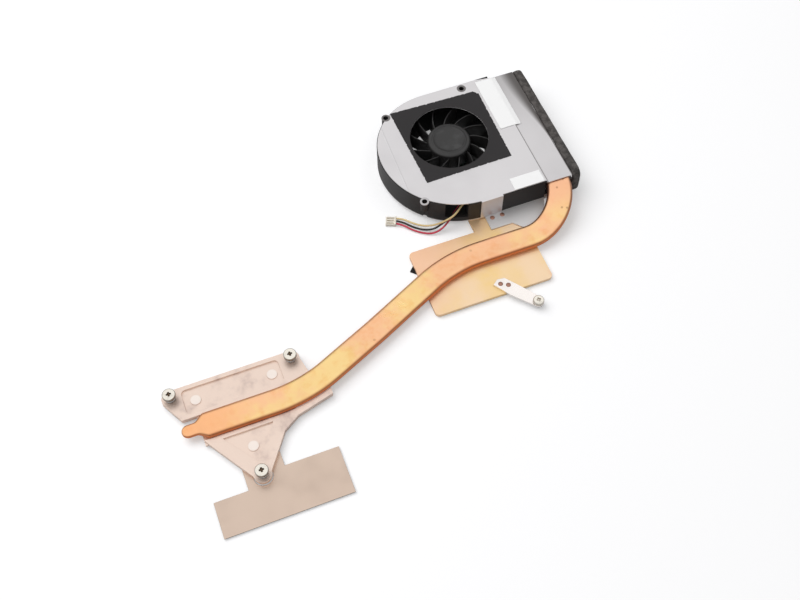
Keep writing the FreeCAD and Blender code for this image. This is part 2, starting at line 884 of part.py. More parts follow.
def pipe_corners():
    """Plan route of the heat pipe up to the start of its bend beside the fan."""
    seat = val("pipe_seat_y")
    return [
        Vector(val("pipe_start_x"), seat, 0),
        Vector(val("pipe_bend_a_x"), seat, 0),
        Vector(val("pipe_mid_x"), val("pipe_mid_y"), 0),
        Vector(val("pipe_bend_b_x"), val("pipe_gpu_y"), 0),
        Vector(val("pipe_leg_x") - val("pipe_bend_radius"), val("pipe_gpu_y"), 0),
    ]


def pipe_arcs():
    """The three gentle arcs of the pipe's plan route."""
    points = pipe_corners()
    radii = [val("pipe_soft_radius"), val("pipe_mid_radius"), val("pipe_soft_radius")]
    return [corner_arc(points[n], points[n + 1], points[n + 2], radii[n]) for n in range(len(radii))]


def pressed_section(centre, along, width, height):
    """Closed section of a pipe pressed flat: two flats joined by half circles, across a direction."""
    side = Vector(-along.y, along.x, 0).normalize()
    up = Vector(0, 0, 1)
    flat = side * (width / 2 - height / 2)
    rise = up * (height / 2)
    edge = side * (width / 2)
    edges = [
        Part.LineSegment(centre - flat + rise, centre + flat + rise).toShape(),
        Part.Arc(centre + flat + rise, centre + edge, centre + flat - rise).toShape(),
        Part.LineSegment(centre + flat - rise, centre - flat - rise).toShape(),
        Part.Arc(centre - flat - rise, centre - edge, centre - flat + rise).toShape(),
    ]
    return Part.Wire(edges)


def flat_run():
    """The level part of the pipe, swept along straight runs and tangent arcs."""
    points = pipe_corners()
    edges = []
    here = points[0]
    for start, middle, end, centre in pipe_arcs():
        edges.append(Part.LineSegment(here, start).toShape())
        edges.append(Part.Arc(start, middle, end).toShape())
        here = end
    edges.append(Part.LineSegment(here, points[-1]).toShape())
    route = Part.Wire(edges)
    section = pressed_section(points[0], Vector(1, 0, 0), val("pipe_width"), val("pipe_height"))
    return route.makePipeShell([section], True, False)


def rising_bend():
    """The quarter turn beside the fan, which climbs evenly eased to the top of the fins."""
    radius = val("pipe_bend_radius")
    centre = Vector(val("pipe_leg_x") - radius, val("pipe_gpu_y") + radius, 0)
    sections = []
    for step in range(BEND_STEPS + 1):
        share = step / BEND_STEPS
        turn = 90 * share
        lift = val("pipe_rise") * share * share * (3 - 2 * share)
        place = on_circle(centre.x, centre.y, radius, turn - 90) + Vector(0, 0, lift)
        along = on_circle(0, 0, 1, turn)
        sections.append(pressed_section(place, along, val("pipe_width"), val("pipe_height")))
    return Part.makeLoft(sections, True, False)


def make_heat_pipe():
    """Copper pipe pressed flat, from its pinched end to the top of the fin stack."""
    width = val("pipe_width")
    height = val("pipe_height")
    start = pipe_corners()[0]
    radius = val("pipe_bend_radius")
    leg_start = Vector(val("pipe_leg_x"), val("pipe_gpu_y") + radius, val("pipe_rise"))
    leg_end = val("fan_y") + fin_start() + val("fin_count") * val("fin_pitch") - val("pipe_end_gap")
    section = pressed_section(leg_start, Vector(0, 1, 0), width, height)
    leg = Part.Face(section).extrude(Vector(0, leg_end - leg_start.y, 0))
    back = Vector(-1, 0, 0)
    round_width = 2 * val("nipple_radius")
    neck = start + back * val("shoulder_length")
    shoulder = Part.makeLoft([
        pressed_section(start, Vector(1, 0, 0), width, height),
        pressed_section(neck, Vector(1, 0, 0), round_width, val("nipple_height")),
    ], True, True)
    tip = Part.Face(pressed_section(neck, Vector(1, 0, 0), round_width, val("nipple_height")))
    nipple = tip.extrude(back * val("nipple_length"))
    end = Part.makeCylinder(val("nipple_radius"), val("nipple_height"),
                            neck + back * val("nipple_length") - Vector(0, 0, val("nipple_height") / 2))
    shape = flat_run().fuse([rising_bend(), leg, shoulder, nipple, end]).removeSplitter()
    return solid("heat_pipe", shape, 0, 0, val("base_bottom") + height / 2)


def make_gpu_plate():
    """Copper plate of the graphics chip, with the tab that the fan's base is riveted to."""
    left = val("gpu_x") - val("gpu_length") / 2
    front = val("gpu_y") - val("gpu_depth") / 2
    right = left + val("gpu_length")
    back = front + val("gpu_depth")
    corner = val("gpu_corner")
    plate = box_outline(left, front, right, back, corner)
    body = slab("gpu_plate", "[base_bottom] - [gpu_thick]", plate, "[gpu_thick]")
    tab_left = val("fan_x") + val("gpu_tab_left_x")
    tab_right = val("fan_x") + val("gpu_tab_right_x")
    tab_back = val("fan_y") + val("gpu_tab_back_y")
    tab = box_outline(tab_left, back - corner, tab_right, tab_back, val("gpu_tab_corner"))
    add_slab(body, "[base_bottom] - [gpu_thick]", tab, "[gpu_thick]")
    holes = [place + Vector(val("fan_x"), val("fan_y"), 0) for place in plate_rivets()] + arm_rivets()
    cut_discs(body, "[base_bottom]", holes, "[rivet_radius]", "[gpu_thick]")
    return body


def make_pads():
    """Thermal pad below the graphics plate, the foam square at its left and the chipset pads."""
    half = val("gpu_pad_side") / 2
    pad_box = box_outline(val("gpu_x") - half, val("gpu_y") - half, val("gpu_x") + half, val("gpu_y") + half)
    slab("gpu_pad", "0", pad_box, "[gpu_pad_thick]")
    half = val("foam_side") / 2
    body = slab("edge_foam", "0", box_outline(-half, -half, half, half), "[gpu_pad_thick]")
    reach = half * math.sqrt(2) - val("foam_reach")
    left = val("gpu_x") - val("gpu_length") / 2
    body.Placement = Placement(Vector(left + reach, val("foam_y"), 0), Rotation(Vector(0, 0, 1), 45))
    width = val("tee_pad_width")
    back = val("tee_front_y") + val("tee_corner") + val("tee_pad_depth")
    pads = []
    for side in (-1, 1):
        middle = (val("tee_left_x") + val("tee_right_x")) / 2
        start = middle + side * (val("tee_pad_gap") + width) / 2 - width / 2
        pads.append(Part.makeBox(width, val("tee_pad_depth"), val("block_bottom") - val("tee_thick"),
                                 Vector(start, back - val("tee_pad_depth"), 0)))
    solid("chipset_pads", Part.makeCompound(pads))


def arm_point(along, across):
    """A place given along the steel arm from its screw."""
    turn = math.radians(val("arm_turn"))
    ahead = Vector(math.cos(turn), math.sin(turn), 0)
    left = Vector(-ahead.y, ahead.x, 0)
    return Vector(val("arm_x"), val("arm_y"), 0) + ahead * along + left * across


def arm_rivets():
    """Places of the two rivets that hold the steel arm."""
    first = arm_point(val("arm_rivet_distance"), -val("arm_rivet_shift"))
    second = arm_point(val("arm_rivet_distance") + val("arm_rivet_pitch"), val("arm_rivet_shift"))
    return [first, second]


def make_gpu_arm():
    """Steel arm riveted on the graphics plate, round at its screw."""
    radius = val("arm_end_radius")
    root = val("arm_length")
    shoulder = val("arm_shoulder")
    bevel = val("arm_bevel")
    right = -val("arm_root_right")
    corners = [
        arm_point(0, -radius), arm_point(shoulder, right), arm_point(root - bevel, right),
        arm_point(root, right + bevel), arm_point(root, val("arm_root_left")),
        arm_point(shoulder, val("arm_waist")), arm_point(0, radius),
    ]
    path = Outline(corners[0].x, corners[0].y)
    for corner in corners[1:]:
        path.line(corner.x, corner.y)
    path.arc(arm_point(-radius, 0), corners[0].x, corners[0].y)
    body = slab("gpu_arm", "[base_bottom]", path.edges, "[arm_thick]")
    cut_discs(body, "[base_bottom] + [arm_thick]", arm_rivets(), "[rivet_radius]", "[arm_thick]")
    cut_discs(body, "[base_bottom] + [arm_thick]", [arm_point(0, 0)],
              "[arm_screw_radius] + [screw_play]", "[arm_thick]")
    return body


def rivet(place, low, high):
    """A round rivet with a low domed head at its top, flush below."""
    shank = Part.makeCylinder(val("rivet_radius"), high - low, place + Vector(0, 0, low))
    head = Part.makeCylinder(val("rivet_head_radius"), val("rivet_head"), place + Vector(0, 0, high))
    return shank.fuse(head).removeSplitter()


def make_rivets():
    """The rivets of the lobe and those of the arm."""
    low = val("base_bottom") - val("gpu_thick")
    axis = Vector(val("fan_x"), val("fan_y"), 0)
    lobe = [rivet(axis + place, low, val("base_top")) for place in plate_rivets()]
    solid("plate_rivets", Part.makeCompound(lobe))
    arm = [rivet(place, low, val("base_bottom") + val("arm_thick")) for place in arm_rivets()]
    solid("arm_rivets", Part.makeCompound(arm))


def screw_places():
    """Places of the three captive screws round the processor."""
    count = int(val("screw_count"))
    first = val("screw_turn")
    return [on_circle(0, 0, val("screw_circle_radius"), first - n * 360 / count) for n in range(count)]


def seat_edge(side, end_x):
    """The pipe's side as the block sees it: end of the straight, a point of the arc and its end."""
    start, middle, end, centre = pipe_arcs()[0]
    radius = val("pipe_soft_radius") - side * (val("pipe_width") / 2 + val("pipe_seat_gap"))
    reach = end_x - centre.x
    last = Vector(end_x, centre.y - math.sqrt(radius * radius - reach * reach), 0)
    share = reach / 2
    half_way = Vector(centre.x + share, centre.y - math.sqrt(radius * radius - share * share), 0)
    return Vector(start.x, centre.y - radius, 0), half_way, last


def bar_outline():
    """The rear bar of the block, along the back of the pipe."""
    straight, half_way, last = seat_edge(1, val("bar_tongue_x"))
    left, right = val("bar_left_x"), val("bar_right_x")
    back = val("bar_back_y")
    path = Outline(left, straight.y).line(straight.x, straight.y).arc(half_way, last.x, last.y)
    bevel = val("bar_bevel")
    path.line(right, val("bar_shoulder_y")).line(right - bevel, back)
    path.line(bevel - right, back).line(-right, val("bar_shoulder_y"))
    return path.close()


def wedge_outline():
    """The front wedge of the block, from the pipe to the third screw."""
    straight, half_way, last = seat_edge(-1, val("wedge_tongue_x"))
    nose = screw_places()[2]
    half = val("block_ear_radius")
    path = Outline(val("wedge_left_x"), straight.y)
    path.line(-half, nose.y).line(half, nose.y)
    path.line(val("wedge_waist_x"), val("wedge_waist_y")).line(val("wedge_hip_x"), val("wedge_hip_y"))
    path.line(last.x, val("wedge_tip_y")).line(last.x, last.y)
    path.arc(half_way, straight.x, straight.y)
    return path.close()


def make_cpu_block():
    """Cast block: a bar and a wedge with sunk fields, three ears and the seat of the pipe."""
    depth = "[block_top] - [block_bottom]"
    body = slab("cpu_block", "[block_bottom]", bar_outline(), depth)
    seat_front = seat_edge(-1, val("wedge_tongue_x"))[0].y
    seat_back = seat_edge(1, val("bar_tongue_x"))[0].y
    inset = val("block_rim")
    seat = box_outline(val("wedge_left_x"), seat_front - inset, val("wedge_hip_x"), seat_back + inset)
    add_slab(body, "[block_bottom]", seat, "[base_bottom] - [block_bottom]")
    add_slab(body, "[block_bottom]", wedge_outline(), depth)
    for place in screw_places():
        add_disc(body, "[ear_bottom]", place, "[block_ear_radius]", "[block_top] - [ear_bottom]")
    rim = val("block_rim")
    bar_field = box_outline(val("bar_field_left"), seat_back + rim, val("bar_field_right"),
                            val("bar_back_y") - rim, rim)
    cut_slab(body, "[block_top]", bar_field, "[block_recess]")
    nose = screw_places()[2].y + val("block_ear_radius") + rim
    field_back = seat_front - rim
    path = Outline(-val("wedge_field_half"), field_back).line(0, nose)
    path.line(val("wedge_field_half"), field_back)
    cut_slab(body, "[block_top]", path.close(), "[block_recess]")
    middle = (seat_back + val("bar_back_y")) / 2
    pins = [Vector(-val("pin_x"), middle, 0), Vector(val("pin_x"), middle, 0), Vector(0, val("pin_y"), 0)]
    for place in pins:
        add_disc(body, "[block_top] - [block_recess]", place, "[pin_radius]", "[pin_height]")
    cut_discs(body, "[block_top]", screw_places(), "[screw_hole_radius]", depth)
    cut_discs(body, "[ear_bottom]", screw_places(), "[block_ear_radius]", "[ear_bottom]")
    return body


def make_cpu_contact():
    """Copper plate that lies on the processor."""
    half_length = val("contact_length") / 2
    half_depth = val("contact_depth") / 2
    outline = box_outline(-half_length, -half_depth, half_length, half_depth, val("contact_corner"))
    return slab("cpu_contact", "0", outline, "[block_bottom]")


def make_chipset_plate():
    """T-shaped sheet below the wedge, with a clear hole round the third screw."""
    left, right = val("tee_left_x"), val("tee_right_x")
    path = Outline(left, val("tee_front_y")).line(right, val("tee_front_y"))
    path.line(right, val("tee_right_back_y")).line(val("tee_stem_right_x"), val("tee_right_back_y"))
    path.line(val("tee_stem_right_x"), val("tee_stem_back_y"))
    path.line(val("tee_stem_left_x"), val("tee_stem_back_y"))
    path.line(val("tee_stem_left_x"), val("tee_left_back_y")).line(left, val("tee_left_back_y"))
    body = slab("chipset_plate", "[block_bottom] - [tee_thick]", path.close(), "[tee_thick]")
    cut_discs(body, "[block_bottom]", [screw_places()[2]], "[tee_hole_radius]", "[tee_thick]")
    return body


def screw_shape(shank, tip, seat, head_radius, head, clip_low):
    """A screw on the Z axis, with a groove for its clip and a square socket in its head."""
    groove = val("clip_groove")
    shape = Part.makeCylinder(shank, seat - tip, Vector(0, 0, tip))
    shape = shape.fuse(Part.makeCylinder(head_radius, head, Vector(0, 0, seat)))
    shape = shape.removeSplitter()
    slot = Part.makeCylinder(shank + groove, val("clip_thick") + 2 * val("joint_clearance"),
                             Vector(0, 0, clip_low - val("joint_clearance")))
    core = Part.makeCylinder(shank - groove, val("clip_thick") + 2 * val("joint_clearance"),
                             Vector(0, 0, clip_low - val("joint_clearance")))
    shape = shape.cut(slot.cut(core))
    side = val("screw_socket_radius")
    depth = val("screw_socket_depth")
    socket = Part.makeBox(2 * side, 2 * side, depth, Vector(-side, -side, seat + head - depth))
    return shape.cut(socket)


def clip_shape(shank, low, outer):
    """A split retaining ring that sits in a screw's groove."""
    inner = shank - val("clip_groove") + val("joint_clearance")
    thick = val("clip_thick")
    ring_shape = Part.makeCylinder(outer, thick, Vector(0, 0, low))
    ring_shape = ring_shape.cut(Part.makeCylinder(inner, thick, Vector(0, 0, low)))
    gap = val("clip_slot")
    return ring_shape.cut(Part.makeBox(outer, gap, thick, Vector(0, -gap / 2, low)))


def spring_shape():
    """A compression spring of round wire, wound as short mitred runs."""
    steps = SPRING_STEPS * int(val("spring_turns"))
    rise = (val("spring_height") - 2 * val("spring_wire")) / steps
    corner = val("spring_radius") / math.cos(math.pi / SPRING_STEPS)
    turn = 360 / SPRING_STEPS
    points = [on_circle(0, 0, corner, n * turn) + Vector(0, 0, n * rise) for n in range(steps + 1)]
    section = Part.makeCircle(val("spring_wire"), points[0], points[1] - points[0])
    return Part.makePolygon(points).makePipeShell([Part.Wire(section)], True, False, MITRE)


def make_captive_screws():
    """Three sprung screws of the processor block, each with its spring and its clip."""
    clip_low = val("ear_bottom") - val("joint_clearance") - val("clip_thick")
    seat = val("block_top") + val("spring_height") + val("joint_clearance")
    for letter, place in zip("abc", screw_places()):
        screw = screw_shape(val("screw_radius"), val("screw_tip"), seat,
                            val("screw_head_radius"), val("screw_head"), clip_low)
        solid("cpu_screw_" + letter, screw, place.x, place.y)
        clip = clip_shape(val("screw_radius"), clip_low, val("clip_radius"))
        solid("cpu_clip_" + letter, clip, place.x, place.y)
        foot = val("block_top") + val("spring_wire")
        solid("cpu_spring_" + letter, spring_shape(), place.x, place.y, foot)


def make_arm_screw():
    """Screw of the steel arm and its clip."""
    clip_low = val("base_bottom") - val("joint_clearance") - val("clip_thick")
    seat = val("base_bottom") + val("arm_thick") + val("joint_clearance")
    shank = val("arm_screw_radius")
    screw = screw_shape(shank, val("screw_tip"), seat, val("arm_screw_head_radius"),
                        val("arm_screw_head"), clip_low)
    solid("gpu_screw", screw, val("arm_x"), val("arm_y"))
    clip = clip_shape(shank, clip_low, val("arm_screw_head_radius"))
    solid("gpu_screw_clip", clip, val("arm_x"), val("arm_y"))


def wire_routes():
    """Hand-set points of the three fan wires, from the cable notch to the connector."""
    black = [
        Vector(111.4, 54.0, 9.0), Vector(108.8, 52.2, 8.8), Vector(105.1, 50.3, 7.1),
        Vector(101.1, 50.3, 4.2), Vector(97.0, 50.4, 1.6), Vector(93.0, 52.4, 0.7),
        Vector(89.4, 55.6, 0.6), Vector(86.7, 58.8, 1.0), Vector(84.2, 60.2, 1.3),
    ]
    yellow = [
        Vector(112.4, 53.6, 10.2), Vector(109.6, 51.9, 10.0), Vector(105.8, 49.4, 8.4),
        Vector(101.7, 49.9, 5.7), Vector(97.6, 51.5, 2.8), Vector(93.6, 53.6, 1.6),
        Vector(90.0, 56.6, 1.5), Vector(87.2, 60.2, 1.3), Vector(84.7, 61.3, 1.3),
    ]
    red = [
        Vector(110.4, 54.4, 7.8), Vector(107.8, 52.6, 7.5), Vector(104.6, 50.7, 5.2),
        Vector(100.5, 48.9, 2.6), Vector(96.4, 48.9, 0.9), Vector(92.4, 50.9, 0.7),
        Vector(88.8, 54.1, 0.7), Vector(86.2, 57.4, 1.1), Vector(83.7, 59.0, 1.3),
    ]
    return {"wire_black": black, "wire_yellow": yellow, "wire_red": red}


def round_tube(points, radius):
    """A tube along straight runs joined by tangent arcs, with its route and tightest arc."""
    edges = []
    here = points[0]
    bends = []
    for before, corner, after in zip(points, points[1:], points[2:]):
        half = (before - corner).getAngle(after - corner) / 2
        shorter = min((before - corner).Length, (after - corner).Length)
        bends.append(ARC_SHARE * shorter * math.tan(half))
        start, middle, end, centre = corner_arc(before, corner, after, bends[-1])
        edges.append(Part.LineSegment(here, start).toShape())
        edges.append(Part.Arc(start, middle, end).toShape())
        here = end
    edges.append(Part.LineSegment(here, points[-1]).toShape())
    route = Part.Wire(edges)
    ahead = (points[1] - points[0]).normalize()
    section = Part.Wire(Part.makeCircle(radius, points[0], ahead))
    return route.makePipeShell([section], True, False), route, min(bends)


def make_wire(name, points):
    """One wire, with its length, its tightest arc and its volume against its section and length."""
    radius = val("wire_radius")
    tube, route, tightest = round_tube(points, radius)
    expected = math.pi * radius * radius * route.Length
    print("%s length %.1f tightest radius %.1f volume ratio %.4f"
          % (name, route.Length, tightest, tube.Volume / expected))
    return solid(name, tube)


def make_wires():
    """The three fan wires and their connector."""
    for name, points in wire_routes().items():
        make_wire(name, points)
    half = val("plug_width") / 2
    length = val("plug_length")
    rib = val("plug_rib")
    body = slab("cable_plug", "0", box_outline(0, -half, length, half), "[plug_height] - [plug_rib]")
    lip = box_outline(0, -half, rib, half)
    add_slab(body, "[plug_height] - [plug_rib]", lip, "[plug_rib]")
    for side in (-1, 0, 1):
        middle = side * val("pin_pitch")
        slot = box_outline(2 * rib, middle - rib / 2, length - rib, middle + rib / 2)
        cut_slab(body, "[plug_height] - [plug_rib]", slot, "[plug_slot]")
    end = wire_routes()["wire_black"][-1]
    body.Placement = Placement(Vector(end.x, end.y, 0), Rotation(Vector(0, 0, 1), val("plug_turn")))


def check_and_export():
    """Stop on a failed object or a bad shape, then write one file for each sub-part."""
    doc.recompute()
    for item in doc.Objects:
        if "Invalid" in item.State or "Error" in item.State:
            raise RuntimeError("failed: " + item.Name)
    os.makedirs("parts", exist_ok=True)
    owned = ("PartDesign::Body", "Part::Feature")
    for item in doc.Objects:
        if item.TypeId not in owned or item.getParentGeoFeatureGroup() is not None:
            continue
        shape = item.Shape
        if shape.isNull() or not shape.isValid() or shape.Volume <= 0:
            raise RuntimeError("bad shape: " + item.Label)
        shape.exportStep("parts/%s.step" % item.Label)
        print("%-16s %8.1f mm3  %d solid(s)" % (item.Label, shape.Volume, len(shape.Solids)))


def main():
    make_base_plate()
    make_fan_housing()
    make_fan_cover()
    make_inlet_sheet()
    make_cover_label()
    make_cover_sticker()
    make_impeller()
    make_rotor_core()
    make_bearing()
    make_motor_board()
    make_stator()
    make_fin_stack()
    make_outlet_gasket()
    make_heat_pipe()
    make_gpu_plate()
    make_pads()
    make_gpu_arm()
    make_rivets()
    make_cpu_block()
    make_cpu_contact()
    make_chipset_plate()
    make_captive_screws()
    make_arm_screw()
    make_wires()
    check_and_export()


main()
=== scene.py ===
import json
import math

import bmesh
import bpy
import numpy as np
from bpy.props import FloatProperty, FloatVectorProperty, IntProperty, PointerProperty
from mathutils import Matrix, Vector


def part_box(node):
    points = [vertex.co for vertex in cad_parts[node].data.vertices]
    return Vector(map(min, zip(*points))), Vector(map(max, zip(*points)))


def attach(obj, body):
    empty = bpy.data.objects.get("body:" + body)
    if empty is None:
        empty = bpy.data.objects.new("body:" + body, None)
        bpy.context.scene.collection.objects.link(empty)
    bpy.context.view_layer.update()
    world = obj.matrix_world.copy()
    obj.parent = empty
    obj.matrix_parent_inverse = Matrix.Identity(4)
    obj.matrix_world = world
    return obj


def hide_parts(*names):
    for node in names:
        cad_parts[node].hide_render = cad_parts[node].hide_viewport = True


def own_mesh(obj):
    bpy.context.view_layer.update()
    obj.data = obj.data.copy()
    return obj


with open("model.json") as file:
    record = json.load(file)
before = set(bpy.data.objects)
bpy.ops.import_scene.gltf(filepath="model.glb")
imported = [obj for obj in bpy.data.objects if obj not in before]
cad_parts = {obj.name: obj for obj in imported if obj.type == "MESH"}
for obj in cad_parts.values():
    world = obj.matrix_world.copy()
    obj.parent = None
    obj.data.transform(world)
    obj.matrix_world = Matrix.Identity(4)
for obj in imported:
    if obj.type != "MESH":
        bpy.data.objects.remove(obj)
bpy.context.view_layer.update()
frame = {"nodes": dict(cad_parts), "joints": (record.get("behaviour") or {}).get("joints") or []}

bl_info = {
    "name": "Laptop Cooler Finish",
    "version": (1, 0, 0),
    "blender": (4, 5, 0),
    "location": "View3D > Sidebar > Cooler",
    "description": "Dresses the fan, heat pipe and chip plates of a portable computer's cooler",
    "category": "Object",
}

MM = 0.001
FULL_TURN = 2 * math.pi
QUARTER_TURN = math.pi / 2
WELD = 1e-7
CAD_WELD = 2e-6
# Corners up to the first angle are flattened in a copied solid, and those past the second are rolled
FLAT_DEGREES = 0.6
CORNER_DEGREES = 40
# Directions round a screw and round the rotor's cup
SCREW_SEGMENTS = 96
CUP_SEGMENTS = 96
# What the sheen of rolled metal ranges over
SHEEN_RANGE = (0.3, 1.1)
JOINTS = {joint["name"]: joint for joint in frame["joints"]}
FAN = Vector(JOINTS["fan_spin"]["pos_m"])
SCREWS = {letter: Vector(JOINTS["screw_%s_turn" % letter]["pos_m"]) for letter in "abc"}
ARM_SCREW = Vector(JOINTS["arm_screw_turn"]["pos_m"])

# The fan wires' routes in metres, from inside the housing to the connector
WIRE_ROUTES = {
    "wire_black": [
        (0.1114, 0.0540, 0.0090), (0.1088, 0.0522, 0.0088), (0.1051, 0.0503, 0.0071),
        (0.1011, 0.0503, 0.0042), (0.0970, 0.0504, 0.0016), (0.0930, 0.0524, 0.0007),
        (0.0894, 0.0556, 0.0006), (0.0867, 0.0588, 0.0010), (0.0842, 0.0602, 0.0013),
    ],
    "wire_yellow": [
        (0.1124, 0.0536, 0.0102), (0.1096, 0.0519, 0.0100), (0.1058, 0.0494, 0.0084),
        (0.1017, 0.0499, 0.0057), (0.0976, 0.0515, 0.0028), (0.0936, 0.0536, 0.0016),
        (0.0900, 0.0566, 0.0015), (0.0872, 0.0602, 0.0013), (0.0847, 0.0613, 0.0013),
    ],
    "wire_red": [
        (0.1104, 0.0544, 0.0078), (0.1078, 0.0526, 0.0075), (0.1046, 0.0507, 0.0052),
        (0.1005, 0.0489, 0.0026), (0.0964, 0.0489, 0.0009), (0.0924, 0.0509, 0.0007),
        (0.0888, 0.0541, 0.0007), (0.0862, 0.0574, 0.0011), (0.0837, 0.0590, 0.0013),
    ],
}

# Corners of the charcoal sheet in metres from the fan's axis, anticlockwise. One corner is cut off.
FILM_CORNERS = [
    (0.0204, -0.0187), (0.0210, 0.0177), (0.0191, 0.0197), (-0.0189, 0.0209), (-0.0176, -0.0192),
]

# In metres: the three screw bosses, the block's pins, the brown spots on the pipe beside the cover and
# the pink streak on the copper plate
REAR_BOSSES = [(FAN.x - 0.0213, FAN.y + 0.0195), (FAN.x + 0.0152, FAN.y + 0.0232)]
BLOCK_PINS = [(-0.0149, 0.0101), (0.0149, 0.0101), (0.0, -0.0154)]
FRONT_BOSS = (FAN.x - 0.0220, FAN.y - 0.0275)
PIPE_SPOTS = [(0.1492, 0.0452), (0.1545, 0.0409), (0.1478, 0.0368), (0.1496, 0.0358), (0.1530, 0.0478)]
PLATE_STREAK = [(0.1350, 0.0135), (0.1385, 0.0115)]

# Corners and arc radii of the heat pipe's plan route in metres, up to its bend beside the fan
PIPE_CORNERS = [(-0.0136, -0.0020), (0.0245, -0.0020), (0.0580, 0.0129), (0.0970, 0.0315), (0.1316, 0.0315)]
PIPE_RADII = [0.058, 0.160, 0.058]


def tint(name, about, colour):
    """A colour property with its default."""
    return FloatVectorProperty(name=name, description=about, subtype="COLOR", size=3,
                               min=0.0, max=1.0, default=colour)


def length(name, about, value):
    """A length property in metres with its default."""
    return FloatProperty(name=name, description=about, unit="LENGTH", precision=5, default=value)


def angle(name, about, degrees):
    """An angle property whose default is written in degrees."""
    return FloatProperty(name=name, description=about, subtype="ANGLE", default=math.radians(degrees))


class CoolerStageSettings(bpy.types.PropertyGroup):
    """Camera, floor and lights."""
    camera_place: FloatVectorProperty(
        name="Camera place", description="Where the camera stands", subtype="TRANSLATION",
        default=(0.33 * MM, -173.70 * MM, 351.99 * MM))
    azimuth: angle("Azimuth", "Camera's turn about the upright axis", -19.95)
    elevation: angle("Elevation", "Camera's height above the horizon", 59.06)
    roll: angle("Roll", "Camera's turn about its own line of sight", -1.04)
    lens: FloatProperty(name="Lens", description="Focal length in millimetres", default=46.47)
    floor_size: length("Floor size", "Side of the square floor", 6.0)
    floor_colour: tint("Floor colour", "Colour of the pale floor", (0.76, 0.76, 0.77))
    floor_glow: FloatProperty(name="Floor glow", description="How white the floor stays in a shadow",
                              default=0.32)
    key_power: FloatProperty(name="Key power", description="Power of the soft lamp in watts", default=7.0)
    key_size: length("Key size", "Side of the soft lamp", 0.9)
    key_target: FloatVectorProperty(name="Key target", description="What the soft lamp looks at",
                                    subtype="TRANSLATION", default=(65 * MM, 30 * MM, 0))
    key_place: FloatVectorProperty(name="Key place", description="Where the soft lamp hangs, from its target",
                                   subtype="TRANSLATION", default=(-0.36, 0.42, 0.86))
    sky: FloatProperty(name="Sky", description="Strength of the light from all round", default=0.62)
    sky_low: FloatProperty(name="Low sky", description="Share of that light near the horizon", default=0.22)


class CoolerPipeSettings(bpy.types.PropertyGroup):
    """Heat pipe and copper plates."""
    width: length("Width", "Width of the pressed pipe", 10.4 * MM)
    height: length("Height", "Height of the pressed pipe", 3.4 * MM)
    bend_radius: length("Bend radius", "Radius of the bend beside the fan", 20.0 * MM)
    rise: length("Rise", "How far the bend climbs", 7.2 * MM)
    dish: length("Dish", "How far the pressed flats sink at their middle", 0.10 * MM)
    wave: length("Wave", "Height of the slow waves that the bending leaves", 0.025 * MM)
    wave_long: length("Long wave", "Run of a radian of the longer waves", 6.1 * MM)
    wave_short: length("Short wave", "Run of a radian of the shorter waves", 2.3 * MM)
    nipple_width: length("Nipple width", "Width of the pinched end", 5.2 * MM)
    nipple_height: length("Nipple height", "Height of the pinched end", 1.9 * MM)
    nipple_length: length("Nipple length", "Length of the pinched end with its round tip", 5.1 * MM)
    shoulder_length: length("Shoulder length", "Length of the taper to the pinched end", 4.5 * MM)
    light: tint("Copper", "Clean copper", (1.00, 0.58, 0.33))
    # Gold-toned patches of painted highlight, mottled into the copper of the pipe and the plates
    golden_highlight: tint("Golden copper", "Warm tarnish on the copper", (1.00, 0.72, 0.32))
    pink: tint("Pink copper", "Cleaner copper of the bend beside the fan", (1.00, 0.52, 0.33))
    # The next two colours are painted shade and reflection on the pipe's rounded sides, the second round the
    # bend
    side_shade: tint("Deep copper", "Redder copper at the pipe's sides", (0.70, 0.23, 0.09))
    bend_side_shade: tint("Scorched copper", "Dark copper at the sides of the bend", (0.30, 0.11, 0.07))
    glow: tint("Glow", "Orange copper at the pinched end", (1.0, 0.47, 0.20))
    stain: tint("Stain", "Flux and heat stains", (0.30, 0.12, 0.06))
    plate: tint("Plate copper", "Copper of the chip plates", (1.00, 0.75, 0.50))
    plate_pink: tint("Plate, pinker", "Pinker copper of the plate's back left", (1.0, 0.60, 0.40))
    plate_streak: tint("Plate, streak", "Pink streak on the plate", (0.92, 0.46, 0.34))


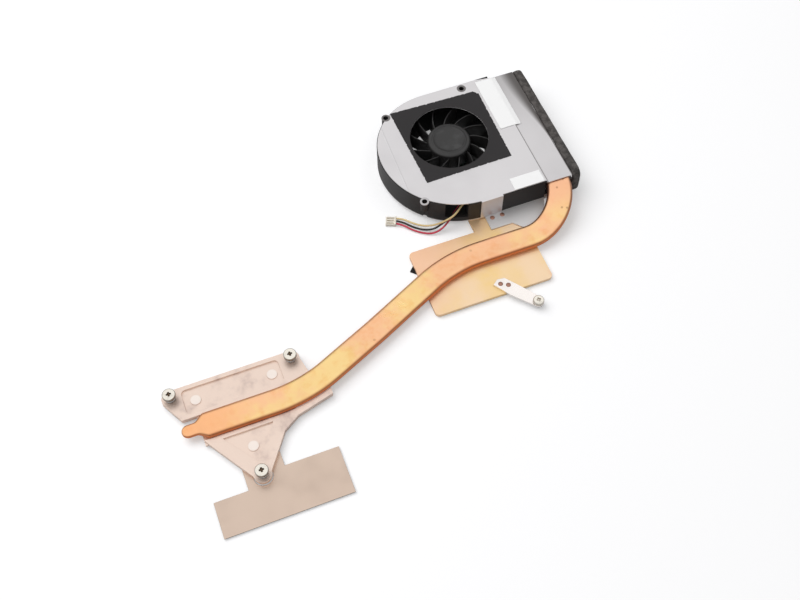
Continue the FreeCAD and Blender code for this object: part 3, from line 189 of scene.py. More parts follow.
class CoolerFanSettings(bpy.types.PropertyGroup):
    """Fan, its cover and its rotor."""
    hub_radius: length("Hub radius", "Radius of the rotor's cup", 9.2 * MM)
    hub_edge: length("Hub edge", "Rounding of the cup's edge", 1.2 * MM)
    hub_depth: length("Hub depth", "Height of the cup's side", 7.6 * MM)
    hub_wall: length("Hub wall", "Thickness of the cup", 0.8 * MM)
    ridge_radius: length("Ridge radius", "Radius of the ring on the cup", 6.9 * MM)
    ridge: length("Ridge", "Height of that ring", 0.25 * MM)
    tip_radius: length("Tip radius", "Radius at the blades' tips", 19.6 * MM)
    blade_count: IntProperty(name="Blades", description="Number of blades", default=13)
    blade_root: length("Blade root", "Thickness of a blade at the cup", 0.62 * MM)
    blade_tip: length("Blade tip", "Thickness of a blade at its tip", 0.42 * MM)
    blade_bow: length("Blade bow", "How far a blade bows from a straight line", 0.9 * MM)
    blade_sweep: angle("Blade sweep", "How far the tips lag behind the roots", 24.0)
    inlet_radius: length("Inlet radius", "Radius of the round inlet", 16.55 * MM)
    film_lift: length("Film lift", "How far the charcoal sheet's corners lift", 0.05 * MM)
    film_ripple: length("Film ripple", "Height of the ripples in that sheet", 0.015 * MM)
    film_wear: length("Film wear", "Depth of the nicks in the charcoal sheet's edge", 0.3 * MM)
    film_thickness: length("Film thickness", "Thickness of the stuck sheets with their glue", 0.15 * MM)
    paper_thickness: length("Paper thickness", "Thickness of the two labels' paper", 0.12 * MM)
    step_x: length("Step", "Distance of the cover's step from the fan's axis", 28.8 * MM)
    gasket_wall: length("Gasket wall", "Thickness of the foam round the outlet", 2.2 * MM)
    swell: FloatProperty(name="Swell", description="Share of the foam's swellings and dents", default=0.035)
    swell_long: length("Long swell", "Run of a radian of the longer swellings", 5.7 * MM)
    swell_short: length("Short swell", "Run of a radian of the shorter swellings", 2.1 * MM)
    gasket_corner: length("Gasket corner", "Radius of the foam's middle line at its corners", 2.2 * MM)
    silver: tint("Cover", "Rolled sheet of the cover", (0.76, 0.74, 0.75))
    silver_dull: tint("Cover, dull", "Duller patches of that sheet", (0.68, 0.66, 0.67))
    # Painted shade and reflection on the cover beside the outlet, over the fins and at the step, and the dark
    # rings at the bosses
    silver_shade: tint("Cover, smeared", "Dark smear beside the outlet", (0.105, 0.095, 0.09))
    base_silver: tint("Base plate", "Rolled sheet of the base plate", (0.74, 0.73, 0.73))
    plastic: tint("Housing", "Moulded housing", (0.020, 0.018, 0.018))
    rotor: tint("Rotor", "Moulded rotor", (0.022, 0.021, 0.021))
    film: tint("Film", "Charcoal sheet", (0.024, 0.022, 0.023))
    paper: tint("Label", "Bare labels", (0.98, 0.98, 0.98))
    foam: tint("Foam", "Foam of the outlet's gasket", (0.115, 0.105, 0.100))


class CoolerBlockSettings(bpy.types.PropertyGroup):
    """Processor block, chipset plate and screws."""
    head_radius: length("Head radius", "Radius of a captive screw's head", 2.55 * MM)
    recess_reach: length("Recess reach", "Half the length of the cross recess", 1.0 * MM)
    recess_half: length("Recess half", "Half the width of the recess's arms", 0.34 * MM)
    recess_depth: length("Recess depth", "Depth of the recess", 0.9 * MM)
    thread_pitch: length("Thread pitch", "Pitch of the screw threads", 0.45 * MM)
    thread_depth: length("Thread depth", "Depth of the screw threads", 0.16 * MM)
    spring_wire: length("Spring wire", "Radius of the spring wire", 0.17 * MM)
    spring_radius: length("Spring radius", "Radius of the spring's turns", 1.85 * MM)
    spring_turns: FloatProperty(name="Spring turns", description="Turns of a spring", default=4.0)
    alloy: tint("Cast alloy", "Tumbled casting", (0.90, 0.73, 0.63))
    alloy_pale: tint("Cast alloy, pale", "Rubbed pins of the casting", (1.0, 0.92, 0.86))
    alloy_dull: tint("Cast alloy, dull", "Duller patches of the casting", (0.56, 0.43, 0.39))
    sheet: tint("Chipset sheet", "Rolled sheet of the chipset plate", (0.71, 0.56, 0.46))
    nickel: tint("Nickel", "Plated screws", (0.90, 0.85, 0.76))
    # Colour of the painted shade in a screw's recess and at its sides
    grime: tint("Screw, dark", "Dark sides and recess of a screw", (0.13, 0.09, 0.06))
    steel: tint("Steel", "Bright rolled steel", (1.00, 0.94, 0.90))
    rivet: tint("Rivets", "Brown copper of the rivets", (0.45, 0.24, 0.18))


class CoolerWireSettings(bpy.types.PropertyGroup):
    """Fan wires."""
    diameter: length("Diameter", "Diameter of a wire over its sleeve", 0.8 * MM)
    black: tint("Black wire", "Sleeve of the black wire", (0.018, 0.016, 0.016))
    yellow: tint("Yellow wire", "Sleeve of the yellow wire", (0.86, 0.66, 0.33))
    red: tint("Red wire", "Sleeve of the red wire", (0.62, 0.05, 0.09))
    plug: tint("Connector", "Moulded connector", (0.82, 0.76, 0.66))


class Skin:
    """Gathers grids of points and joins them into one mesh."""

    def __init__(self):
        self.points = []
        self.faces = []
        self.coords = []
        self.shade = []
        self.count = 0

    def grid(self, points, around=False, along=False, caps=False, shade=None):
        """Add a grid of points. around joins its last column to its first, along its last row to its
        first, and caps closes the first and last rows. shade is one value for each point."""
        rows, columns = points.shape[:2]
        index = np.arange(rows * columns).reshape(rows, columns) + self.count
        across, down = np.meshgrid(np.arange(columns + around), np.arange(rows + along))
        uv = np.stack([across / (columns - 1 + around), down / (rows - 1 + along)], -1)
        if around:
            index = np.hstack([index, index[:, :1]])
        if along:
            index = np.vstack([index, index[:1]])
        corners = [(slice(None, -1), slice(None, -1)), (slice(None, -1), slice(1, None)),
                   (slice(1, None), slice(1, None)), (slice(1, None), slice(None, -1))]
        quads = np.stack([index[c] for c in corners], -1).reshape(-1, 4)
        self.faces += quads.tolist()
        self.coords.append(np.stack([uv[c] for c in corners], 2).reshape(-1, 2))
        if caps:
            edge = slice(None, -1) if around else slice(None)
            self.faces += [index[0, edge][::-1].tolist(), index[-1, edge].tolist()]
            self.coords.append(np.zeros((2 * len(index[0, edge]), 2)))
        self.points.append(points.reshape(-1, 3))
        given = np.zeros(rows * columns) if shade is None else np.asarray(shade).reshape(-1)
        self.shade.append(given)
        self.count += rows * columns
        return self

    def build(self, name):
        """Make the object, with poles closed and faces pointing outwards."""
        mesh = bpy.data.meshes.new(name)
        mesh.from_pydata(np.concatenate(self.points).tolist(), [], self.faces)
        layer = mesh.uv_layers.new(name="surface")
        layer.data.foreach_set("uv", np.concatenate(self.coords).astype(np.float32).ravel())
        shade = mesh.attributes.new("shade", "FLOAT", "POINT")
        shade.data.foreach_set("value", np.concatenate(self.shade).astype(np.float32))
        work = bmesh.new()
        work.from_mesh(mesh)
        bmesh.ops.remove_doubles(work, verts=work.verts, dist=WELD)
        bmesh.ops.recalc_face_normals(work, faces=work.faces)
        work.to_mesh(mesh)
        work.free()
        shade_smooth(mesh)
        return add_object(name, mesh)


def dress(piece, body, slot, material, *nodes):
    """Give a piece its finish, its body and the nodes that it stands for."""
    piece.data.materials.clear()
    piece.data.materials.append(material)
    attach(piece, body)
    if nodes:
        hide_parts(*nodes)
    return piece


def paint(material, *nodes):
    """Give carried-over nodes a finish."""
    for name in nodes:
        node = frame["nodes"][name]
        if not node.material_slots:
            node.data.materials.append(material)
        node.material_slots[0].link = "OBJECT"
        node.material_slots[0].material = material


def shaded(colour, share):
    """A colour made darker or paler by a share."""
    return [value * share for value in colour]


def paled(colour, share, lift):
    """A colour made paler by a share and by an even lift, up to white."""
    return [min(1.0, value * share + lift) for value in colour]


def unit(vectors):
    """Vectors brought to a length of one, row by row."""
    return vectors / np.linalg.norm(vectors, axis=1)[:, None]


def distances(points):
    """The distance along a line of points, from its first point."""
    return np.concatenate([[0], np.cumsum(np.linalg.norm(np.diff(points, axis=0), axis=1))])


def swollen(wave, power):
    """A wave between -1 and 1 whose crests are broadened by a power below one."""
    return np.sign(wave) * np.abs(wave) ** power


def add_object(name, data):
    """A new object at the origin, linked to the scene."""
    piece = bpy.data.objects.new(name, data)
    bpy.context.scene.collection.objects.link(piece)
    return piece


def shade_smooth(mesh):
    """Shade every face of a mesh smooth."""
    mesh.polygons.foreach_set("use_smooth", [True] * len(mesh.polygons))


def smooth_step(value, low, high):
    """Zero below low, one above high, and an even S curve between."""
    share = np.clip((value - low) / (high - low), 0, 1)
    return share * share * (3 - 2 * share)


def revolve(skin, radii, heights, centre, segments=64):
    """Turn a profile of radius and height about an upright axis at a centre."""
    turn = np.arange(segments) * FULL_TURN / segments
    radii, heights = np.asarray(radii), np.asarray(heights)
    points = np.stack([
        centre[0] + radii[:, None] * np.cos(turn), centre[1] + radii[:, None] * np.sin(turn),
        np.broadcast_to(heights[:, None], (len(heights), segments))], -1)
    return skin.grid(points, around=True)


def rolled_copy(node, name, width, segments=2):
    """A copy of a node with its sharp edges rolled over, to stand for it."""
    mesh = frame["nodes"][node].data.copy()
    mesh.name = name
    work = bmesh.new()
    work.from_mesh(mesh)
    bmesh.ops.remove_doubles(work, verts=work.verts, dist=CAD_WELD)
    flat = math.radians(FLAT_DEGREES)
    bmesh.ops.dissolve_limit(work, angle_limit=flat, verts=work.verts, edges=work.edges)
    work.to_mesh(mesh)
    work.free()
    shade_smooth(mesh)
    piece = add_object(name, mesh)
    roll = piece.modifiers.new("rolled_edge", "BEVEL")
    roll.width = width
    roll.segments = segments
    roll.limit_method = "ANGLE"
    roll.angle_limit = math.radians(CORNER_DEGREES)
    roll.use_clamp_overlap = True
    piece.modifiers.new("even_normals", "WEIGHTED_NORMAL")
    return piece


def dress_rolled(node, name, width, slot, material, segments=2):
    """Let a rolled-over copy of a node of the cooler's own body stand for it."""
    return dress(rolled_copy(node, name, width, segments), "cooler", slot, material, node)


class Finish:
    """A material round one Principled shader, with short calls for its nodes."""

    def __init__(self, name, roughness=0.5, metallic=0.0, colour=None):
        self.material = bpy.data.materials.new(name)
        self.material.use_nodes = True
        self.tree = self.material.node_tree
        self.tree.nodes.clear()
        self.shader = self.tree.nodes.new("ShaderNodeBsdfPrincipled")
        output = self.tree.nodes.new("ShaderNodeOutputMaterial")
        self.tree.links.new(self.shader.outputs[0], output.inputs[0])
        self.shader.inputs["Roughness"].default_value = roughness
        self.shader.inputs["Metallic"].default_value = metallic
        if colour is not None:
            self.shader.inputs["Base Color"].default_value = (*colour, 1)

    def set(self, socket, value):
        """Set a constant on the shader, or link a varying value to it."""
        if isinstance(value, bpy.types.NodeSocket):
            self.tree.links.new(value, self.shader.inputs[socket])
        else:
            self.shader.inputs[socket].default_value = value
        return self

    def group(self, group, **inputs):
        """Place a shared effect with its own values."""
        node = self.tree.nodes.new("ShaderNodeGroup")
        node.node_tree = group
        for name, value in inputs.items():
            fill(self.tree, node.inputs[name], value)
        return node

    def bump(self, height, distance):
        """Raise the surface by a height that varies over it."""
        node = self.tree.nodes.new("ShaderNodeBump")
        node.inputs["Distance"].default_value = distance
        self.tree.links.new(height, node.inputs["Height"])
        self.tree.links.new(node.outputs[0], self.shader.inputs["Normal"])
        return self

    def blend(self, amount, first, second):
        """Mix two colours by an amount that varies over the surface."""
        return blend(self.tree, amount, first, second)

    def math(self, operation, *values):
        """One arithmetic step on varying values."""
        return arithmetic(self.tree, operation, *values)

    def mottle(self, scale, first, second, low, high):
        """Two colours in soft patches of a scale, blended between two levels of the noise."""
        return self.group(effect("mottle"), Scale=scale, First=first, Second=second, Low=low, High=high)

    def rolled(self, fineness, patch, smooth, rough):
        """Rolled grain whose sheen varies the roughness."""
        grain = self.group(effect("rolled"), Fineness=fineness, Patch=patch)
        self.set("Roughness", ramp(self.tree, grain.outputs["Sheen"], *SHEEN_RANGE, smooth, rough))
        return grain.outputs["Height"]

    def rubbed(self, tone, smooth, rough):
        """Let the patches of the colour vary the roughness too."""
        return self.set("Roughness", ramp(self.tree, tone.outputs["Mask"], 0.0, 1.0, smooth, rough))

    def grain(self, scale, depth, name="grain"):
        """Roughen the surface by the cells of a shared effect."""
        return self.bump(self.group(effect(name), Scale=scale).outputs["Height"], depth)

    def spots(self, places, radius, soft):
        """One mask for round marks at several places of the plan."""
        masks = [self.group(effect("spot"), X=x, Y=y, Radius=radius, Soft=soft).outputs["Mask"]
                 for x, y in places]
        total = masks[0]
        for mask in masks[1:]:
            total = self.math("MAXIMUM", total, mask)
        return total

    def place(self):
        """The three object coordinates."""
        return place_axes(self.tree)

    def shade(self):
        """The shade value that the surface carries from its making."""
        node = self.tree.nodes.new("ShaderNodeAttribute")
        node.attribute_name = "shade"
        return node.outputs["Fac"]


def fill(tree, socket, value):
    """Put a constant or a link into an input."""
    if isinstance(value, bpy.types.NodeSocket):
        tree.links.new(value, socket)
    elif hasattr(value, "__len__") and socket.type == "RGBA":
        socket.default_value = (*value, 1)
    else:
        socket.default_value = value


def blend(tree, amount, first, second):
    """Mix two colours in one tree."""
    node = tree.nodes.new("ShaderNodeMix")
    node.data_type = "RGBA"
    for place, value in zip((0, 6, 7), (amount, first, second)):
        fill(tree, node.inputs[place], value)
    return node.outputs[2]


def arithmetic(tree, operation, *values):
    """One arithmetic step in one tree."""
    node = tree.nodes.new("ShaderNodeMath")
    node.operation = operation
    for place, value in enumerate(values):
        fill(tree, node.inputs[place], value)
    return node.outputs[0]


def ramp(tree, value, low, high, first=0.0, last=1.0):
    """Map a value's range evenly on another, without passing its ends."""
    node = tree.nodes.new("ShaderNodeMapRange")
    node.interpolation_type = "SMOOTHSTEP"
    for name, number in (("From Min", low), ("From Max", high), ("To Min", first), ("To Max", last)):
        fill(tree, node.inputs[name], number)
    tree.links.new(value, node.inputs["Value"])
    return node.outputs[0]


def noise(tree, vector, scale, detail=3.0, roughness=0.55):
    """Soft noise over a place."""
    node = tree.nodes.new("ShaderNodeTexNoise")
    fill(tree, node.inputs["Vector"], vector)
    fill(tree, node.inputs["Scale"], scale)
    node.inputs["Detail"].default_value = detail
    node.inputs["Roughness"].default_value = roughness
    return node.outputs[0]


def new_group(name, inputs, outputs):
    """An empty shader node group with named sockets, its input node and its output node."""
    group = bpy.data.node_groups.new(name, "ShaderNodeTree")
    for label, kind, value in inputs:
        socket = group.interface.new_socket(label, in_out="INPUT", socket_type="NodeSocket" + kind)
        socket.default_value = value
    for label, kind in outputs:
        group.interface.new_socket(label, in_out="OUTPUT", socket_type="NodeSocket" + kind)
    return group, group.nodes.new("NodeGroupInput"), group.nodes.new("NodeGroupOutput")


def object_place(tree, stretch=(1, 1, 1), turn=0.0):
    """Object coordinates, stretched and turned about the upright axis."""
    place = tree.nodes.new("ShaderNodeTexCoord").outputs["Object"]
    if stretch == (1, 1, 1) and not turn:
        return place
    mapping = tree.nodes.new("ShaderNodeMapping")
    mapping.inputs["Scale"].default_value = stretch
    mapping.inputs["Rotation"].default_value = (0, 0, turn)
    tree.links.new(place, mapping.inputs["Vector"])
    return mapping.outputs[0]


def place_axes(tree):
    """The three object coordinates, each by itself."""
    split = tree.nodes.new("ShaderNodeSeparateXYZ")
    tree.links.new(object_place(tree), split.inputs[0])
    return split.outputs["X"], split.outputs["Y"], split.outputs["Z"]


def rolled_grain_group():
    """Fine lines that rolling leaves along a sheet, with a slow change of sheen across it."""
    group, given, out = new_group(
        "rolled_grain", [("Fineness", "Float", 900.0), ("Patch", "Float", 40.0)],
        [("Height", "Float"), ("Sheen", "Float")])
    lines = noise(group, object_place(group, (0.05, 1, 1), 0.35), given.outputs["Fineness"], 4.0, 0.6)
    patches = noise(group, object_place(group), given.outputs["Patch"], 2.0, 0.5)
    fill(group, out.inputs["Height"], lines)
    fill(group, out.inputs["Sheen"], arithmetic(group, "MULTIPLY_ADD", lines, 0.35, patches))
    return group


def mottle_group():
    """Two colours in soft patches, and the mask of those patches."""
    group, given, out = new_group(
        "mottle",
        [("Scale", "Float", 60.0), ("First", "Color", (1, 1, 1, 1)), ("Second", "Color", (0, 0, 0, 1)),
         ("Low", "Float", 0.4), ("High", "Float", 0.7)],
        [("Color", "Color"), ("Mask", "Float")])
    patches = noise(group, object_place(group), given.outputs["Scale"], 4.0, 0.6)
    mask = ramp(group, patches, given.outputs["Low"], given.outputs["High"])
    fill(group, out.inputs["Color"], blend(group, mask, given.outputs["First"], given.outputs["Second"]))
    fill(group, out.inputs["Mask"], mask)
    return group


def specks_group():
    """Small round marks, spread unevenly."""
    group, given, out = new_group(
        "specks", [("Scale", "Float", 300.0), ("Size", "Float", 0.12), ("Spread", "Float", 60.0)],
        [("Mask", "Float")])
    cells = group.nodes.new("ShaderNodeTexVoronoi")
    fill(group, cells.inputs["Vector"], object_place(group))
    fill(group, cells.inputs["Scale"], given.outputs["Scale"])
    dots = arithmetic(group, "LESS_THAN", cells.outputs["Distance"], given.outputs["Size"])
    where = noise(group, object_place(group), given.outputs["Spread"], 2.0)
    fill(group, out.inputs["Mask"], arithmetic(group, "MULTIPLY", dots, ramp(group, where, 0.5, 0.62)))
    return group


def spot_group():
    """A round mark about an upright axis: one inside and zero outside."""
    group, given, out = new_group(
        "spot", [("X", "Float", 0.0), ("Y", "Float", 0.0), ("Radius", "Float", 2.0 * MM),
                 ("Soft", "Float", 0.2 * MM)], [("Mask", "Float")])
    aside = [arithmetic(group, "SUBTRACT", value, given.outputs[axis])
             for value, axis in zip(place_axes(group), "XY")]
    squares = [arithmetic(group, "MULTIPLY", value, value) for value in aside]
    away = arithmetic(group, "SQRT", arithmetic(group, "ADD", *squares))
    inner = arithmetic(group, "SUBTRACT", given.outputs["Radius"], given.outputs["Soft"])
    outer = arithmetic(group, "ADD", given.outputs["Radius"], given.outputs["Soft"])
    fill(group, out.inputs["Mask"], ramp(group, away, inner, outer, 1.0, 0.0))
    return group


def grain_group():
    """The even grain of a moulded or cast surface."""
    group, given, out = new_group("moulded_grain", [("Scale", "Float", 1500.0)], [("Height", "Float")])
    fill(group, out.inputs["Height"], noise(group, object_place(group), given.outputs["Scale"], 2.0, 0.5))
    return group


def foam_group():
    """Open cells of cut foam."""
    group, given, out = new_group("foam_cells", [("Scale", "Float", 1400.0)], [("Height", "Float")])
    cells = group.nodes.new("ShaderNodeTexVoronoi")
    fill(group, cells.inputs["Vector"], object_place(group))
    fill(group, cells.inputs["Scale"], given.outputs["Scale"])
    coarse = noise(group, object_place(group), 420.0, 3.0)
    fill(group, out.inputs["Height"], arithmetic(group, "ADD", cells.outputs["Distance"], coarse))
    return group


EFFECTS = {}


def effect(name):
    """A shared effect, built the first time that it is asked for."""
    makers = {"rolled": rolled_grain_group, "mottle": mottle_group, "specks": specks_group,
              "grain": grain_group, "foam": foam_group, "spot": spot_group}
    if name not in EFFECTS:
        EFFECTS[name] = makers[name]()
    return EFFECTS[name]


def rolled_sheet(name, bright, dull, roughness=0.3, fineness=900.0, patch=30.0, metal=1.0):
    """Rolled metal sheet: two close tones in wide patches, fine lines and uneven sheen."""
    finish = Finish(name, roughness, metal)
    tone = finish.mottle(patch, bright, dull, 0.42, 0.75)
    finish.set("Base Color", tone.outputs["Color"])
    height = finish.rolled(fineness, patch * 2, roughness - 0.07, roughness + 0.10)
    return finish.bump(height, 0.012 * MM)


def cover_finish(fan):
    """Satin sheet of the fan cover: painted shade and reflection of the foam over the fins, widening towards
    the back, a line of painted shade at the step, dark rings at the two rear bosses and a faint straight
    crease at the left."""
    finish = Finish("cover_sheet", 0.4, 0.6)
    tree = finish.tree
    x, y, _ = finish.place()
    step = FAN.x + fan.step_x
    tone = finish.mottle(20.0, fan.silver, fan.silver_dull, 0.4, 0.8)
    # Painted shade and reflection of the foam gasket on the cover, widening towards the back
    from_outlet = finish.math("SUBTRACT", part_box("fan_cover")[1].x, x)
    back = FAN.y + 24.0 * MM
    reach = ramp(tree, y, FAN.y - 18.0 * MM, back, 0.6 * MM, 8.5 * MM)
    foam_shade = ramp(tree, finish.math("DIVIDE", from_outlet, reach), 0.15, 1.1, 0.95, 0.0)
    soft = 0.3 * MM
    # Painted shade over the fin section, darker towards the back
    over_fins = finish.math("MULTIPLY", ramp(tree, x, step - soft, step + soft),
                            ramp(tree, y, FAN.y - 12.0 * MM, back, 0.05, 0.30))
    darker = finish.blend(finish.math("MAXIMUM", over_fins, foam_shade), tone.outputs["Color"], fan.silver_shade)
    # A thin line of painted shade along the step
    beside_step = finish.math("ABSOLUTE", finish.math("SUBTRACT", x, step + 0.1 * MM))
    line_half = 0.1 * MM
    fade = 0.4 * MM
    line = ramp(tree, beside_step, line_half, fade, 0.7, 0.0)
    lined = finish.blend(line, darker, fan.silver_shade)
    ring = (2.0 * MM, 0.1 * MM)
    rings = finish.math("MAXIMUM", finish.math("MULTIPLY", finish.spots(REAR_BOSSES, *ring), 0.85),
                        finish.math("MULTIPLY", finish.spots([FRONT_BOSS], *ring), 0.3))
    finish.set("Base Color", finish.blend(rings, lined, fan.silver_shade))
    lean = 0.029
    crease_start = FAN.x - 25.8 * MM - lean * (FAN.y - 5.0 * MM)
    crease_x = finish.math("MULTIPLY_ADD", y, lean, crease_start)
    aside = finish.math("ABSOLUTE", finish.math("SUBTRACT", x, crease_x))
    crease = ramp(tree, aside, 0.0, fade, 1.0, 0.0)
    grain = finish.rolled(1400.0, 40.0, 0.36, 0.46)
    return finish.bump(finish.math("MULTIPLY_ADD", grain, 0.05, crease), 0.08 * MM).material


def base_finish(fan):
    """Matt rolled sheet of the base plate, with painted shade inside the closed housing."""
    finish = rolled_sheet("base_sheet", fan.base_silver, shaded(fan.base_silver, 0.88), 0.5, metal=0.35)
    tone = finish.shader.inputs["Base Color"].links[0].from_socket
    _, y, z = finish.place()
    # Painted shade on the plate inside the closed housing, where little light reaches
    front = FAN.y - 34.9 * MM
    soft = 0.3 * MM
    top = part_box("base_plate")[1].z
    inside = finish.math("MULTIPLY", ramp(finish.tree, y, front - soft, front + soft),
                         ramp(finish.tree, z, top - soft, top - 0.1 * MM))
    dark = [0.03] * 3
    return finish.set("Base Color", finish.blend(inside, tone, dark)).material


def copper_pipe_finish(pipe):
    """Drawn copper: gold-toned patches of painted highlight, painted shade and reflection on the rounded
    sides that darken round the bend, pinker copper and brown spots beside the fan, a warm glow at the pinched
    end, small stains and long draw lines."""
    finish = Finish("pipe_copper", 0.3, 0.88)
    tree = finish.tree
    x, y, _ = finish.place()
    # Gold-toned patches of painted highlight over the pipe's copper
    tone = finish.mottle(42.0, pipe.light, pipe.golden_highlight, 0.40, 0.62)
    fine = finish.mottle(260.0, (1, 1, 1), (0.97, 0.87, 0.78), 0.45, 0.75)
    worn = tree.nodes.new("ShaderNodeMix")
    worn.data_type = "RGBA"
    worn.blend_type = "MULTIPLY"
    for place, value in zip((0, 6, 7), (1.0, tone.outputs["Color"], fine.outputs["Color"])):
        fill(tree, worn.inputs[place], value)
    beside_fan = ramp(tree, y, 28.0 * MM, 46.0 * MM)
    pinker = finish.blend(finish.math("MULTIPLY", beside_fan, 0.8), worn.outputs[2], pipe.pink)
    glow = ramp(tree, x, -14.0 * MM, 10.0 * MM, 0.55, 0.0)
    warm = finish.blend(glow, pinker, pipe.glow)
    marks = finish.group(effect("specks"), Scale=210.0, Size=0.11, Spread=55.0)
    spots = finish.spots(PIPE_SPOTS, 0.4 * MM, 0.3 * MM)
    marked = finish.math("MAXIMUM", finish.math("MULTIPLY", marks.outputs["Mask"], 0.4),
                         finish.math("MULTIPLY", spots, 0.6))
    stained = finish.blend(marked, warm, pipe.stain)
    # Painted shade and reflection on the pipe's rounded sides, darker round the bend beside the fan
    side = ramp(tree, finish.shade(), 0.25, 0.95)
    edge = finish.blend(beside_fan, pipe.side_shade, pipe.bend_side_shade)
    finish.set("Base Color", finish.blend(side, stained, edge))
    return finish.bump(finish.rolled(700.0, 70.0, 0.26, 0.42), 0.010 * MM).material


def copper_plate_finish(pipe):
    """Stamped copper plate with gold-toned patches of painted highlight, pinker towards the back left, and
    with a pink streak near its right corner."""
    finish = Finish("plate_copper", 0.42, 0.7)
    tone = finish.mottle(30.0, pipe.plate, pipe.golden_highlight, 0.42, 0.66)
    streak = finish.math("MULTIPLY", finish.spots(PLATE_STREAK, 2.0 * MM, 1.9 * MM), 0.6)
    streaked = finish.blend(streak, tone.outputs["Color"], pipe.plate_streak)
    x, y, _ = finish.place()
    far = ramp(finish.tree, finish.math("SUBTRACT", x, y), 45.0 * MM, 85.0 * MM, 0.75, 0.0)
    finish.set("Base Color", finish.blend(far, streaked, pipe.plate_pink))
    return finish.bump(finish.rolled(900.0, 60.0, 0.38, 0.52), 0.010 * MM).material


def cast_finish(block):
    """Tumbled casting: pinkish grey in soft patches with paler pins, and a fine pebbled skin."""
    finish = Finish("cast_alloy", 0.45, 0.8)
    tone = finish.mottle(90.0, block.alloy, block.alloy_dull, 0.50, 0.85)
    pins = finish.spots(BLOCK_PINS, 1.95 * MM, 0.3 * MM)
    pale = finish.math("MULTIPLY", pins, 0.75)
    finish.set("Base Color", finish.blend(pale, tone.outputs["Color"], block.alloy_pale))
    return finish.rubbed(tone, 0.42, 0.55).grain(900.0, 0.03 * MM).material


def screw_finish(block):
    """Plated screw with painted shade in its recess and at its sides."""
    finish = Finish("screw_nickel", 0.22, 1.0)
    tone = finish.mottle(600.0, block.nickel, shaded(block.nickel, 0.86), 0.45, 0.75)
    finish.set("Base Color", finish.blend(finish.shade(), tone.outputs["Color"], block.grime))
    return finish.rubbed(tone, 0.2, 0.35).material


def moulded_finish(name, colour, paler, roughness, scale, depth, shine=0.5):
    """Moulded plastic: an even grain with slightly paler, rubbed patches."""
    finish = Finish(name, roughness)
    tone = finish.mottle(180.0, colour, paler, 0.5, 0.8)
    finish.set("Base Color", tone.outputs["Color"])
    finish.set("Specular IOR Level", shine)
    return finish.rubbed(tone, roughness, roughness + 0.12).grain(scale, depth).material


def foam_finish(fan):
    """Open-celled foam in mottled brown grey."""
    finish = Finish("gasket_foam", 0.95)
    tone = finish.mottle(420.0, fan.foam, shaded(fan.foam, 0.45), 0.35, 0.65)
    finish.set("Base Color", tone.outputs["Color"])
    return finish.grain(1300.0, 0.25 * MM, "foam").material


def plated_finish(name, colour, roughness):
    """Plated or drawn metal with a little uneven sheen."""
    finish = Finish(name, roughness, 1.0)
    tone = finish.mottle(600.0, colour, shaded(colour, 0.86), 0.45, 0.75)
    finish.set("Base Color", tone.outputs["Color"])
    return finish.rubbed(tone, roughness, roughness + 0.15).material


def plan_route(corners, radii, step):
    """Places and directions along straight runs joined by tangent arcs, evenly spaced in plan."""
    corners = [np.array(corner) for corner in corners]
    places = []
    here = corners[0]
    for before, corner, after, radius in zip(corners, corners[1:], corners[2:], radii):
        inward = (before - corner) / np.linalg.norm(before - corner)
        outward = (after - corner) / np.linalg.norm(after - corner)
        half = math.acos(float(inward @ outward)) / 2
        start = corner + inward * radius / math.tan(half)
        end = corner + outward * radius / math.tan(half)
        bisector = (inward + outward) / np.linalg.norm(inward + outward)
        centre = corner + bisector * radius / math.sin(half)
        count = max(2, int(np.linalg.norm(start - here) / step))
        share = np.arange(count)[:, None] / count
        places.append(here + (start - here) * share)
        first = math.atan2(*(start - centre)[::-1])
        sweep = math.atan2(*(end - centre)[::-1]) - first
        sweep = (sweep + math.pi) % FULL_TURN - math.pi
        count = max(4, int(abs(sweep) * radius / step))
        turn = first + sweep * np.arange(count) / count
        places.append(centre + radius * np.stack([np.cos(turn), np.sin(turn)], -1))
        here = end
    count = max(2, int(np.linalg.norm(corners[-1] - here) / step))
    places.append(here + (corners[-1] - here) * np.arange(count)[:, None] / count)
    return np.concatenate(places)


def pressed_section(half_width, half_height, dish):
    """Section of a pipe pressed flat, for many stations at once: half circles at the sides, and flats
    that sink by the dish at their middle. Returns across, up and how much of a side each point is."""
    flat = np.linspace(1, -1, 15)[1:-1]
    turn = np.radians(np.linspace(-90, 90, 11))
    zero = np.zeros_like
    across = np.concatenate([zero(turn) + 1, flat, zero(turn) - 1, -flat])
    round_x = np.concatenate([np.cos(turn), zero(flat), -np.cos(turn), zero(flat)])
    round_z = np.concatenate([np.sin(turn), zero(flat) + 1, -np.sin(turn), zero(flat) - 1])
    sink = np.concatenate([zero(turn), flat ** 2 - 1, zero(turn), 1 - flat ** 2])
    flat_half = np.maximum(half_width - half_height, 0)
    x = flat_half[:, None] * across + half_height[:, None] * round_x
    z = half_height[:, None] * round_z + dish[:, None] * sink
    side = np.broadcast_to(np.abs(round_x), x.shape)
    return x, z, side


